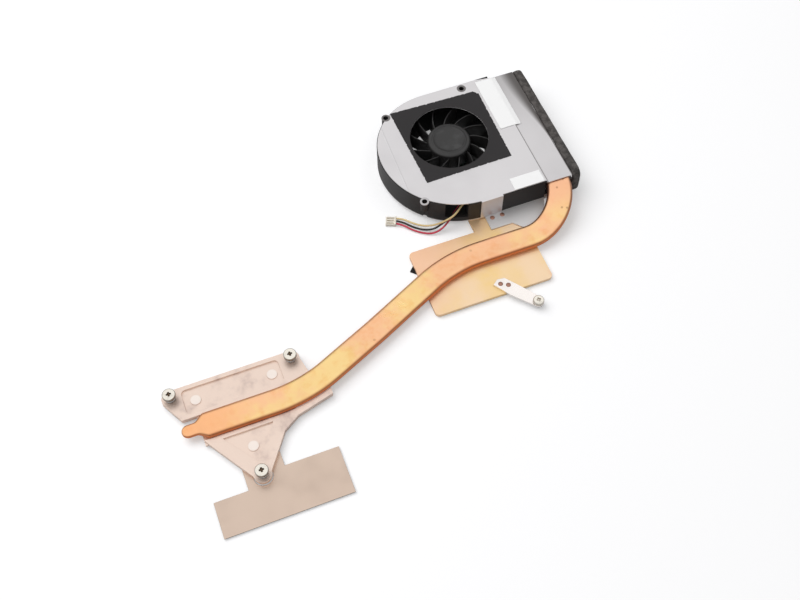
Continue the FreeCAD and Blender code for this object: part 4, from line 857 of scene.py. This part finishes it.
def pipe_line(pipe, step):
    """The pipe's middle line with its eased climb in the bend, and the distance along it."""
    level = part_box("heat_pipe")[0].z + pipe.height / 2
    plan = plan_route(PIPE_CORNERS, PIPE_RADII, step)
    end = np.array(PIPE_CORNERS[-1])
    radius = pipe.bend_radius
    count = int(radius * QUARTER_TURN / step)
    share = np.arange(count) / count
    turn = share * QUARTER_TURN
    bend = end + radius * np.stack([np.sin(turn), 1 - np.cos(turn)], -1)
    climb = pipe.rise * smooth_step(share, 0, 1)
    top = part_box("heat_pipe")[1].y
    leg_y = np.append(np.arange(end[1] + radius, top, step), top)
    leg = np.stack([np.full_like(leg_y, end[0] + radius), leg_y], -1)
    plan = np.vstack([plan, bend, leg])
    height = np.full(len(plan), level)
    first = len(plan) - len(leg) - count
    height[first:first + count] += climb
    height[first + count:] += pipe.rise
    start = np.array(PIPE_CORNERS[0])
    tail = pipe.shoulder_length + pipe.nipple_length
    back = np.linspace(tail, 0, int(tail / step * 3), endpoint=False)
    lead = np.stack([start[0] - back, np.full_like(back, start[1])], -1)
    points = np.column_stack([np.vstack([lead, plan]), np.concatenate([np.full(len(lead), level), height])])
    return points, distances(points)


def make_heat_pipe(pipe):
    """Pressed pipe: a section of flats and half circles is carried along the route. Its width and height
    ease from the pinched end over the shoulder, and slow waves lie over the whole run."""
    points, run = pipe_line(pipe, 0.8 * MM)
    tip = pipe.nipple_width / 2
    neck = pipe.nipple_length
    full = neck + pipe.shoulder_length
    ease = smooth_step(run, neck, full)
    half_width = pipe.nipple_width / 2 + ease * (pipe.width - pipe.nipple_width) / 2
    round_tip = np.sqrt(np.clip(1 - (np.clip(tip - run, 0, tip) / tip) ** 2, 0.0004, 1))
    half_width = half_width * round_tip
    half_height = pipe.nipple_height / 2 + ease * (pipe.height - pipe.nipple_height) / 2
    half_height = np.minimum(half_height * np.clip(0.55 + 0.45 * round_tip, 0, 1), half_width)
    close = np.clip((run[-1] - run) / (pipe.height / 2), 0, 1)
    round_end = np.sqrt(np.clip(1 - (1 - close) ** 2, 0.02, 1))
    half_height = half_height * round_end
    half_width = half_width - (1 - round_end) * pipe.height / 2
    x, z, side = pressed_section(half_width, half_height, pipe.dish * ease)
    short = 0.7 * np.sin(run / pipe.wave_short + 1.1)
    wave = pipe.wave * ease * (np.sin(run / pipe.wave_long) + short)
    z = z + wave[:, None] * (1 - side)
    along = unit(np.gradient(points[:, :2], axis=0))
    left = np.stack([-along[:, 1], along[:, 0]], -1)
    grid = points[:, None, :] + np.concatenate([left[:, None, :] * x[..., None], z[..., None]], -1)
    skin = Skin().grid(grid, around=True, caps=True, shade=side)
    return skin.build("pressed_heat_pipe")


def blade_points(fan, turns, low, high):
    """Blades carried round the hub: the plan line from root to tip bows as a parabola, and a thin
    rounded section stands on it. The upper edge dips near the hub."""
    share = np.linspace(0, 1, 15)
    root = np.array([fan.hub_radius - fan.hub_wall / 2, 0.0])
    tip = fan.tip_radius * np.array([math.cos(-fan.blade_sweep), math.sin(-fan.blade_sweep)])
    run = tip - root
    side = np.array([-run[1], run[0]]) / np.linalg.norm(run)
    middle = root + run * share[:, None] + side * (4 * fan.blade_bow * share * (1 - share))[:, None]
    along = unit(np.gradient(middle, axis=0))
    across = np.stack([-along[:, 1], along[:, 0]], -1)
    thick = fan.blade_root + (fan.blade_tip - fan.blade_root) * share
    top = high - 0.9 * MM * np.clip(1 - share * 3, 0, 1) ** 2
    around = np.linspace(0, FULL_TURN, 17)[:-1]
    edge = swollen(np.cos(around), 0.6)
    lift = swollen(np.sin(around), 0.25)
    plan = middle[:, None, :] + across[:, None, :] * (edge[None, :] * thick[:, None] / 2)[..., None]
    level = (low + top[:, None]) / 2 + lift[None, :] * (top[:, None] - low) / 2
    for turn in turns:
        c, s = math.cos(turn), math.sin(turn)
        x = FAN.x + plan[..., 0] * c - plan[..., 1] * s
        y = FAN.y + plan[..., 0] * s + plan[..., 1] * c
        yield np.stack([x, y, level], -1)


def make_impeller(fan):
    """Rotor: a cup turned from its half section, and blades swept back from the direction of turning."""
    low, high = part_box("impeller")
    top = high.z - fan.ridge
    wall, outer, edge = fan.hub_wall, fan.hub_radius, fan.hub_edge
    middle = top - 0.1 * MM
    ridge_foot = 1.6 * MM
    ridge_half = 0.55 * MM
    bend = np.linspace(QUARTER_TURN, 0, 9)
    ring = np.linspace(-1, 1, 9)
    radii = np.concatenate([[0, fan.ridge_radius - ridge_foot], fan.ridge_radius + ring * ridge_half,
                            outer - edge + edge * np.cos(bend), [outer, outer - wall, outer - wall, 0]])
    heights = np.concatenate([[middle, middle], top + fan.ridge * np.cos(ring * QUARTER_TURN),
                              top - edge + edge * np.sin(bend),
                              [top - fan.hub_depth, top - fan.hub_depth, top - wall, top - wall]])
    skin = Skin()
    revolve(skin, radii, heights, FAN, CUP_SEGMENTS)
    turns = np.arange(fan.blade_count) * FULL_TURN / fan.blade_count
    for points in blade_points(fan, turns, low.z, top - 0.6 * MM):
        skin.grid(points, around=True, caps=True)
    piece = skin.build("fan_rotor")
    keep_sharp(piece, CORNER_DEGREES)
    return piece


def keep_sharp(piece, degrees):
    """Shade a piece smooth apart from its sharp edges."""
    piece.data.set_sharp_from_angle(angle=math.radians(degrees))


def film_outline(turn, wear):
    """Distance from the fan's axis to the charcoal sheet's edge, by direction: the nearest of the straight
    lines between its corners, less small nicks where the sheet is worn."""
    corners = np.array(FILM_CORNERS)
    ahead = np.roll(corners, -1, 0) - corners
    outward = np.stack([ahead[:, 1], -ahead[:, 0]], -1)
    facing = outward @ np.stack([np.cos(turn), np.sin(turn)])
    reach = (outward * corners).sum(1)[:, None]
    edge = np.where(facing > 0, reach / np.where(facing > 0, facing, 1.0), 1.0).min(0)
    nicks = np.clip(np.sin(19 * turn + 0.6) * np.sin(53 * turn) + 0.4 * np.sin(97 * turn + 1.0), 0, 1)
    return edge - wear * nicks ** 2


def make_inlet_sheet(fan):
    """Charcoal sheet round the inlet: rings run from the inlet's circle to the sheet's straight edges,
    over the sheet and back below it. It lifts a little towards its corners."""
    low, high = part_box("inlet_sheet")
    corner_turns = [math.atan2(y, x) % FULL_TURN for x, y in FILM_CORNERS]
    turn = np.sort(np.concatenate([np.linspace(0, FULL_TURN, 481)[:-1], corner_turns]))
    share = np.linspace(0, 1, 9)
    direction = np.stack([np.cos(turn), np.sin(turn)], -1)
    reach = film_outline(turn, fan.film_wear)[:, None]
    away = fan.inlet_radius + (reach - fan.inlet_radius) * share
    plan = np.array([FAN.x, FAN.y]) + direction[:, None, :] * away[..., None]
    lift = fan.film_lift * np.abs(np.sin(2 * turn))[:, None] ** 6 * share[None, :] ** 3
    ripple = fan.film_ripple * np.sin(7 * turn)[:, None] * share[None, :]
    top = np.concatenate([plan, (high.z + lift + ripple)[..., None]], -1)
    under = np.concatenate([plan, np.full(plan.shape[:2] + (1,), low.z + 0.02 * MM)], -1)
    loop = np.concatenate([top, under[:, ::-1]], 1)
    piece = Skin().grid(loop, around=True, along=True).build("inlet_film")
    keep_sharp(piece, CORNER_DEGREES)
    return piece


def stuck_sheet(name, low, high, height_at, thickness):
    """A stuck sheet over a box's plan: its height is a function of its place, and it is closed below."""
    across = np.linspace(low.x, high.x, 41)
    along = np.linspace(low.y, high.y, 61)
    x, y = np.meshgrid(across, along)
    piece = Skin().grid(np.stack([x, y, height_at(x, y)], -1)).build(name)
    normals_up(piece)
    thick = piece.modifiers.new("thickness", "SOLIDIFY")
    thick.thickness = thickness
    thick.offset = -1
    return piece


def normals_up(piece):
    """Turn an open sheet's faces so that they look up."""
    mesh = piece.data
    if mesh.polygons[0].normal.z < 0:
        mesh.flip_normals()


def make_label(fan):
    """Bare label that follows the cover's step, with a soft crease beside it."""
    low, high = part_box("cover_label")
    drop = high.z - low.z - fan.film_thickness
    step = FAN.x + fan.step_x

    def height(x, y):
        fall = drop * smooth_step(x, step + 0.2 * MM, high.x)
        crease = 0.03 * MM * np.sin((x - low.x) / (1.7 * MM)) * smooth_step(y, low.y, high.y)
        return high.z - fall - crease ** 2 / MM

    return stuck_sheet("bare_label", low, high, height, fan.paper_thickness)


def make_sticker(fan):
    """Small bare sticker at the cover's front edge, lifted a little at its right."""
    low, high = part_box("cover_sticker")

    def height(x, y):
        return high.z + 0.02 * MM * smooth_step(x, low.x, high.x) * smooth_step(y, low.y, high.y)

    return stuck_sheet("bare_sticker", low, high, height, fan.paper_thickness)


def make_gasket(fan):
    """Foam gasket: a rounded bar is carried round the outlet's frame, and slow swellings and dents
    run along it."""
    low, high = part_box("outlet_gasket")
    wall = fan.gasket_wall
    corner = fan.gasket_corner
    half_y = (high.y - low.y) / 2 - wall / 2
    half_z = (high.z - low.z) / 2 - wall / 2
    bend = np.linspace(0, QUARTER_TURN, 7)
    arc = corner * np.stack([np.cos(bend), np.sin(bend)], -1)
    rounds = []
    for number, (side_y, side_z) in enumerate([(1, 1), (-1, 1), (-1, -1), (1, -1)]):
        c, s = math.cos(number * QUARTER_TURN), math.sin(number * QUARTER_TURN)
        middle = np.array([side_y * (half_y - corner), side_z * (half_z - corner)])
        rounds.append(middle + arc @ np.array([[c, s], [-s, c]]))
    path = np.concatenate(rounds)
    path = np.vstack([path, path[:1]])
    run = distances(path)
    even = np.arange(0, run[-1], 0.55 * MM)
    path = np.stack([np.interp(even, run, path[:, 0]), np.interp(even, run, path[:, 1])], -1)
    along = unit(np.roll(path, -1, 0) - np.roll(path, 1, 0))
    outward = np.stack([along[:, 1], -along[:, 0]], -1)
    turn = np.linspace(0, FULL_TURN, 33)[:-1]
    power = 0.7
    width = (high.x - low.x) / 2
    across = swollen(np.cos(turn), power)
    depth = swollen(np.sin(turn), power)
    beat = np.sin(even / fan.swell_short) * np.sin(even / fan.swell_long + 0.4)
    swell = 1 - fan.swell * (1 + beat)
    out = wall / 2 * depth[None, :] * swell[:, None]
    x = (low.x + high.x) / 2 + width * across[None, :] * swell[:, None]
    y = (low.y + high.y) / 2 + path[:, :1] + outward[:, :1] * out
    z = (low.z + high.z) / 2 + path[:, 1:] + outward[:, 1:] * out
    return Skin().grid(np.stack([x, y, z], -1), around=True, along=True).build("foam_gasket")


def screw_points(block, centre, low, high, head_radius, head, shank, recess):
    """A screw as one grid of rings and directions: rings run from the middle of the head over its rounded
    edge and down the shank. A cross sinks the inner rings, and a thread turns round the lower ones."""
    edge = 0.5 * MM
    seat_edge = 0.1 * MM
    point = 0.3 * MM
    bend = np.linspace(QUARTER_TURN, 0, 7)
    crown = np.linspace(0, recess * 1.3, 19)
    rim = [recess * 1.5, (recess * 1.5 + head_radius - edge) / 2]
    seat = high - head
    threads = np.arange(seat - 0.4 * MM, low + 0.25 * MM, -block.thread_pitch / 6)
    radii = np.concatenate([crown, rim, head_radius - edge + edge * np.cos(bend),
                            [head_radius, head_radius - seat_edge, shank, shank],
                            np.full(len(threads), shank), [shank - point, 0]])
    heads = len(crown) + len(rim)
    level = np.concatenate([np.full(heads, high), high - edge + edge * np.sin(bend),
                            [seat + seat_edge, seat, seat, seat - point], threads, [low, low]])
    turn = np.arange(SCREW_SEGMENTS) * FULL_TURN / SCREW_SEGMENTS
    x, y = radii[:, None] * np.cos(turn), radii[:, None] * np.sin(turn)
    z = np.broadcast_to(level[:, None], x.shape).copy()
    far, near = np.maximum(np.abs(x), np.abs(y)), np.minimum(np.abs(x), np.abs(y))
    arms = smooth_step(recess - far, 0.0, 0.3 * recess)
    width = block.recess_half * (1.25 - 0.45 * far / recess)
    cross = arms * (1 - smooth_step(near, width - 0.05 * MM, width + 0.05 * MM))
    z[:heads] -= block.recess_depth * cross[:heads] * (1 - 0.45 * (far[:heads] / recess))
    # Painted shade in the cross recess and on the head's lower edge and the shank
    below = smooth_step(np.arange(len(radii)), heads + len(bend) - 5, heads + len(bend))
    shade = np.maximum(cross, below[:, None])
    shade[heads:] = below[heads:, None]
    first = heads + len(bend) + 4
    last = first + len(threads)
    phase = (z[first:last] / block.thread_pitch + turn / FULL_TURN) % 1
    groove = 1 - block.thread_depth / shank * (1 - np.abs(2 * phase - 1))
    x[first:last] *= groove
    y[first:last] *= groove
    return np.stack([centre.x + x, centre.y + y, z], -1), shade


def make_screw(block, name, node, centre, head_radius, head, shank, recess, grime=1.0):
    """One screw with its cross recess and thread."""
    low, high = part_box(node)
    points, shade = screw_points(block, centre, low.z, high.z, head_radius, head, shank, recess)
    piece = Skin().grid(points, around=True, shade=shade * grime).build(name)
    keep_sharp(piece, 50)
    return piece


def make_spring(block, name, node, centre):
    """A spring: a round wire is carried up a helix whose first and last turns lie nearly flat."""
    wire = block.spring_wire
    share = np.linspace(0, 1, int(block.spring_turns * 36))
    turn = share * block.spring_turns * FULL_TURN
    dead = 0.18
    dead_climb = 0.07
    climb = (1 - 2 * dead_climb) * np.clip((share - dead / 2) / (1 - dead), 0, 1)
    climb = climb + dead_climb * (smooth_step(share, 0.0, dead) + smooth_step(share, 1 - dead, 1.0))
    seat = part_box("cpu_block")[1].z
    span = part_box(node)[1].z - seat - 2 * wire
    height = seat + wire + span * climb / climb[-1]
    out = np.stack([np.cos(turn), np.sin(turn), np.zeros_like(turn)], -1)
    middle = out * block.spring_radius + np.array([centre.x, centre.y, 0])
    middle[:, 2] = height
    around = np.linspace(0, FULL_TURN, 13)[:-1]
    up = np.array([0, 0, 1.0])
    points = middle[:, None, :] + wire * (out[:, None, :] * np.cos(around)[None, :, None]
                                          + up * np.sin(around)[None, :, None])
    return Skin().grid(points, around=True, caps=True).build(name)


def make_rivets(name, places, low, high, radius, head):
    """Rivets: a low dome over a round shank, turned from its profile."""
    skin = Skin()
    bend = np.linspace(QUARTER_TURN, 0, 8)
    radii = np.concatenate([radius * np.cos(bend), [radius, radius * 0.7, radius * 0.7, 0]])
    radii[0] = 0
    heights = np.concatenate([high - head + head * np.sin(bend), [high - head, high - head, low, low]])
    for place in places:
        revolve(skin, radii, heights, place, 32)
    return skin.build(name)


def rivet_pair(name, node, material):
    """The two rivets of a node, at the back left and front right corners of its box."""
    low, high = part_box(node)
    radius = 1.0 * MM
    inset = Vector((radius, -radius, 0))
    places = [Vector((low.x, high.y, 0)) + inset, Vector((high.x, low.y, 0)) - inset]
    rivets = make_rivets(name, places, low.z, high.z, radius, 0.3 * MM)
    return dress(rivets, "cooler", "copper", material, node)


def make_wire(name, points, radius, material):
    """A wire as one smooth curve through its route's control points, whose radius is the wire's own."""
    curve = bpy.data.curves.new(name, "CURVE")
    curve.dimensions = "3D"
    curve.bevel_depth = 1.0
    curve.bevel_resolution = 5
    curve.use_fill_caps = True
    spline = curve.splines.new("NURBS")
    spline.points.add(len(points) - 1)
    spline.points.foreach_set("co", [value for point in points for value in (*point, 1.0)])
    spline.points.foreach_set("radius", [radius] * len(points))
    spline.order_u = 3
    spline.use_endpoint_u = True
    spline.resolution_u = 10
    curve.materials.append(material)
    return add_object(name, curve)


class CoolerOperator(bpy.types.Operator):
    """What the cooler's operators share."""
    bl_options = {"REGISTER", "UNDO"}

    def execute(self, context):
        """Build the pieces, and raise an error if anything fails."""
        self.make(context.scene)
        return {"FINISHED"}


class COOLER_OT_stage(CoolerOperator):
    """Set the camera, the pale floor, the sky and the soft lamp."""
    bl_idname = "cooler.stage"
    bl_label = "Stage"

    def make(self, scene):
        stage = scene.cooler_stage
        self.camera(scene, stage)
        self.floor(stage)
        self.sky(scene, stage)
        self.lamp(stage)
        scene.view_settings.view_transform = "Standard"

    def camera(self, scene, stage):
        """Stand the camera by its place, azimuth, elevation and roll."""
        level = math.cos(stage.elevation)
        right = Vector((math.cos(stage.azimuth), math.sin(stage.azimuth), 0))
        back = Vector((math.sin(stage.azimuth) * level, -math.cos(stage.azimuth) * level,
                       math.sin(stage.elevation)))
        up = back.cross(right)
        c, s = math.cos(stage.roll), math.sin(stage.roll)
        turn = Matrix((right * c + up * s, up * c - right * s, back)).transposed()
        data = bpy.data.cameras.new("camera")
        data.lens = stage.lens
        data.clip_start = 0.01
        camera = add_object("camera", data)
        camera.matrix_world = Matrix.Translation(stage.camera_place) @ turn.to_4x4()
        scene.camera = camera

    def floor(self, stage):
        """A wide pale floor that stays white in the camera's view and keeps the shadows."""
        half = stage.floor_size / 2
        mesh = bpy.data.meshes.new("floor")
        corners = [(-half, -half, 0), (half, -half, 0), (half, half, 0), (-half, half, 0)]
        mesh.from_pydata(corners, [], [(0, 1, 2, 3)])
        floor = add_object("floor", mesh)
        finish = Finish("pale_floor", 0.9, 0.0, stage.floor_colour)
        path = finish.tree.nodes.new("ShaderNodeLightPath")
        seen = finish.math("MULTIPLY", path.outputs["Is Camera Ray"], stage.floor_glow)
        finish.set("Emission Color", (1, 1, 1, 1))
        finish.set("Emission Strength", seen)
        mesh.materials.append(finish.material)

    def sky(self, scene, stage):
        """White for the camera. For light and reflections, bright above and dimmer near the horizon."""
        world = bpy.data.worlds.new("sky")
        world.use_nodes = True
        scene.world = world
        tree = world.node_tree
        background = tree.nodes["Background"]
        place = tree.nodes.new("ShaderNodeTexCoord").outputs["Generated"]
        split = tree.nodes.new("ShaderNodeSeparateXYZ")
        tree.links.new(place, split.inputs[0])
        dome = ramp(tree, split.outputs["Z"], 0.25, 0.78, stage.sky_low, 1.0)
        path = tree.nodes.new("ShaderNodeLightPath")
        mirror = arithmetic(tree, "MAXIMUM", path.outputs["Is Glossy Ray"],
                            path.outputs["Is Transmission Ray"])
        lift = arithmetic(tree, "MULTIPLY_ADD", mirror, 1.0 - stage.sky, stage.sky)
        light = arithmetic(tree, "MULTIPLY", dome, lift)
        strength = arithmetic(tree, "MAXIMUM", light, path.outputs["Is Camera Ray"])
        background.inputs["Color"].default_value = (1, 1, 1, 1)
        tree.links.new(strength, background.inputs["Strength"])

    def lamp(self, stage):
        """One large soft lamp above, behind and to the left."""
        data = bpy.data.lights.new("soft_lamp", "AREA")
        data.shape = "SQUARE"
        data.size = stage.key_size
        data.energy = stage.key_power
        lamp = add_object("soft_lamp", data)
        away = Vector(stage.key_place)
        place = Vector(stage.key_target) + away
        turn = away.to_track_quat("Z", "Y").to_matrix().to_4x4()
        lamp.matrix_world = Matrix.Translation(place) @ turn
        lamp.visible_glossy = False


class COOLER_OT_wires(CoolerOperator):
    """Lay the three fan wires and finish their connector."""
    bl_idname = "cooler.wires"
    bl_label = "Wires"

    def make(self, scene):
        wires = scene.cooler_wires
        paler = paled(wires.plug, 1.15, 0.02)
        cream = moulded_finish("plug_plastic", wires.plug, paler, 0.35, 1600.0, 0.01 * MM)
        plug = dress_rolled("cable_plug", "connector", 0.12 * MM, "plug_plastic", cream)
        for name, route in WIRE_ROUTES.items():
            colour = getattr(wires, name.removeprefix("wire_"))
            worn = paled(colour, 1.2, 0.03)
            sleeve = moulded_finish(name + "_sleeve", colour, worn, 0.35, 2400.0, 0.006 * MM)
            wire = make_wire("fan_" + name, route, wires.diameter / 2, sleeve)
            dress(wire, "cooler", name, sleeve, name)
            wire_length(wire)


def wire_length(wire):
    """Length of a wire's own line in metres."""
    depth = wire.data.bevel_depth
    wire.data.bevel_depth = 0
    line = bpy.data.meshes.new_from_object(wire.evaluated_get(bpy.context.evaluated_depsgraph_get()))
    wire.data.bevel_depth = depth
    points = np.array([vertex.co for vertex in line.vertices])
    bpy.data.meshes.remove(line)
    return float(distances(points)[-1])


class COOLER_OT_heat_pipe(CoolerOperator):
    """Make the pressed heat pipe and the copper plates."""
    bl_idname = "cooler.heat_pipe"
    bl_label = "Heat pipe"

    def make(self, scene):
        pipe = scene.cooler_pipe
        copper = copper_pipe_finish(pipe)
        plate = copper_plate_finish(pipe)
        dress(make_heat_pipe(pipe), "cooler", "copper", copper, "heat_pipe")
        dress_rolled("gpu_plate", "graphics_plate", 0.35 * MM, "copper", plate, 3)
        dress_rolled("cpu_contact", "processor_contact", 0.1 * MM, "copper", plate)
        brown = plated_finish("lobe_rivet_copper", scene.cooler_block.rivet, 0.45)
        rivet_pair("lobe_rivets", "plate_rivets", brown)


class COOLER_OT_fan(CoolerOperator):
    """Make the fan's cover, housing, rotor, base plate and gasket."""
    bl_idname = "cooler.fan"
    bl_label = "Fan"

    def make(self, scene):
        fan = scene.cooler_fan
        cover = cover_finish(fan)
        black = moulded_finish("housing_plastic", fan.plastic, [0.030] * 3, 0.5, 1300.0, 0.015 * MM, 0.4)
        rotor = moulded_finish("rotor_plastic", fan.rotor, [0.05] * 3, 0.36, 1800.0, 0.01 * MM)
        dress_rolled("fan_cover", "cover_sheet", 0.12 * MM, "cover_sheet", cover)
        dress_rolled("fan_housing", "moulded_housing", 0.2 * MM, "black_plastic", black)
        dress_rolled("base_plate", "base_sheet", 0.1 * MM, "base_sheet", base_finish(fan))
        dress(make_impeller(fan), "rotor", "rotor_plastic", rotor, "impeller")
        dress(make_gasket(fan), "cooler", "gasket_foam", foam_finish(fan), "outlet_gasket")


class COOLER_OT_films(CoolerOperator):
    """Lay the charcoal sheet and the two bare labels."""
    bl_idname = "cooler.films"
    bl_label = "Films and labels"

    def make(self, scene):
        fan = scene.cooler_fan
        grain = 0.01 * MM
        charcoal = moulded_finish("inlet_film", fan.film, shaded(fan.film, 1.25), 0.6, 2600.0, grain, 0.35)
        paper = moulded_finish("white_label", fan.paper, shaded(fan.paper, 0.96), 0.5, 1500.0, grain)
        dress(make_inlet_sheet(fan), "cooler", "inlet_film", charcoal, "inlet_sheet")
        dress(make_label(fan), "cooler", "white_label", paper, "cover_label")
        dress(make_sticker(fan), "cooler", "white_label", paper, "cover_sticker")


class COOLER_OT_block(CoolerOperator):
    """Finish the processor block, the chipset plate and the steel arm."""
    bl_idname = "cooler.block"
    bl_label = "Block and plates"

    def make(self, scene):
        block = scene.cooler_block
        cast = cast_finish(block)
        sheet = rolled_sheet("chipset_sheet", block.sheet, shaded(block.sheet, 0.88), 0.34, 900.0, 35.0)
        tone = sheet.shader.inputs["Base Color"].links[0].from_socket
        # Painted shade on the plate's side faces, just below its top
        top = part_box("chipset_plate")[1].z
        edge_shade = ramp(sheet.tree, sheet.place()[2], top - 0.12 * MM, top - 0.04 * MM, 0.75, 0.0)
        sheet.set("Base Color", sheet.blend(edge_shade, tone, shaded(block.sheet, 0.3)))
        steel = rolled_sheet("arm_steel", block.steel, shaded(block.steel, 0.9), 0.26, 1200.0, 80.0)
        dress_rolled("cpu_block", "cast_block", 0.25 * MM, "cast_alloy", cast, 3)
        dress_rolled("chipset_plate", "chipset_sheet", 0.08 * MM, "chipset_sheet", sheet.material)
        dress_rolled("gpu_arm", "steel_arm", 0.12 * MM, "arm_steel", steel.material)
        rivet_pair("steel_rivets", "arm_rivets", plated_finish("rivet_copper", block.rivet, 0.4))


class COOLER_OT_screws(CoolerOperator):
    """Make the captive screws with their springs, and the arm's screw."""
    bl_idname = "cooler.screws"
    bl_label = "Screws and springs"

    def make(self, scene):
        block = scene.cooler_block
        nickel = screw_finish(block)
        drawn = plated_finish("spring_steel", [0.55, 0.54, 0.53], 0.25)
        for letter, place in SCREWS.items():
            node = "cpu_screw_" + letter
            screw = make_screw(block, "captive_screw_" + letter, node, place, block.head_radius, 1.3 * MM,
                               1.2 * MM, block.recess_reach)
            dress(screw, "screw_" + letter, "screw_nickel", nickel, node)
            node = "cpu_spring_" + letter
            spring = make_spring(block, "coil_spring_" + letter, node, place)
            dress(spring, "cooler", "spring_steel", drawn, node)
            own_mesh(spring)
        # The arm's screw takes a lighter share of the painted shade
        screw = make_screw(block, "arm_screw_head", "gpu_screw", ARM_SCREW, 2.2 * MM, 1.3 * MM, 1.0 * MM,
                           0.9 * MM, 0.35)
        dress(screw, "arm_screw", "screw_nickel", nickel, "gpu_screw")
        paint(drawn, "cpu_clip_a", "cpu_clip_b", "cpu_clip_c", "gpu_screw_clip")


# Finish, colour, paler colour, roughness, scale and depth of the grain, and the nodes that have it
MOULDED_PARTS = [
    ("pad_rubber", [0.34, 0.38, 0.42], [0.42, 0.46, 0.5], 0.85, 1500.0, 0.02 * MM,
     ["gpu_pad", "chipset_pads"]),
    ("edge_foam_skin", [0.012] * 3, [0.03] * 3, 0.9, 1800.0, 0.05 * MM, ["edge_foam"]),
    ("magnet_ferrite", [0.03, 0.03, 0.032], [0.06, 0.06, 0.062], 0.5, 1500.0, 0.02 * MM,
     ["rotor_magnet", "thrust_cap"]),
    ("board_mask", [0.01, 0.10, 0.045], [0.02, 0.15, 0.07], 0.3, 1200.0, 0.01 * MM, ["motor_board"]),
]

# Finish, colour, roughness and the nodes that have it
PLATED_PARTS = [
    ("motor_steel", [0.55, 0.55, 0.56], 0.25, ["rotor_yoke", "rotor_shaft"]),
    ("sleeve_brass", [0.75, 0.55, 0.25], 0.3, ["bearing_sleeve", "bearing_holder"]),
    ("lamination", [0.32, 0.33, 0.35], 0.35, ["stator_core"]),
    ("winding_enamel", [0.62, 0.22, 0.08], 0.22, ["stator_coils"]),
]


class COOLER_OT_inner_parts(CoolerOperator):
    """Finish the fins, the pads and the motor's own parts."""
    bl_idname = "cooler.inner_parts"
    bl_label = "Inner parts"

    def make(self, scene):
        fins = rolled_sheet("fin_foil", (0.72, 0.72, 0.73), (0.6, 0.6, 0.61), 0.28, 1200.0, 60.0)
        paint(fins.material, "fin_stack")
        for name, colour, paler, roughness, scale, depth, nodes in MOULDED_PARTS:
            paint(moulded_finish(name, colour, paler, roughness, scale, depth), *nodes)
        for name, colour, roughness, nodes in PLATED_PARTS:
            paint(plated_finish(name, colour, roughness), *nodes)


OPERATORS = (COOLER_OT_stage, COOLER_OT_wires, COOLER_OT_heat_pipe, COOLER_OT_fan, COOLER_OT_films,
             COOLER_OT_block, COOLER_OT_screws, COOLER_OT_inner_parts)


class COOLER_PT_panel(bpy.types.Panel):
    """The cooler's operators in the 3D view's sidebar."""
    bl_label = "Laptop cooler"
    bl_idname = "COOLER_PT_panel"
    bl_space_type = "VIEW_3D"
    bl_region_type = "UI"
    bl_category = "Cooler"

    def draw(self, context):
        for operator in OPERATORS:
            self.layout.operator(operator.bl_idname)


SETTINGS = {
    "cooler_stage": CoolerStageSettings,
    "cooler_pipe": CoolerPipeSettings,
    "cooler_fan": CoolerFanSettings,
    "cooler_block": CoolerBlockSettings,
    "cooler_wires": CoolerWireSettings,
}


def register():
    """Register the settings, the operators and the panel."""
    for name, settings in SETTINGS.items():
        bpy.utils.register_class(settings)
        setattr(bpy.types.Scene, name, PointerProperty(type=settings))
    for operator in OPERATORS:
        bpy.utils.register_class(operator)
    bpy.utils.register_class(COOLER_PT_panel)


def unregister():
    """Take the panel, the operators and the settings out again."""
    bpy.utils.unregister_class(COOLER_PT_panel)
    for operator in reversed(OPERATORS):
        bpy.utils.unregister_class(operator)
    for name, settings in SETTINGS.items():
        delattr(bpy.types.Scene, name)
        bpy.utils.unregister_class(settings)


def main():
    """Dress the cooler in order."""
    register()
    bpy.ops.cooler.stage()
    bpy.ops.cooler.wires()
    bpy.ops.cooler.heat_pipe()
    bpy.ops.cooler.fan()
    bpy.ops.cooler.films()
    bpy.ops.cooler.block()
    bpy.ops.cooler.screws()
    bpy.ops.cooler.inner_parts()


if __name__ == "__main__":
    main()
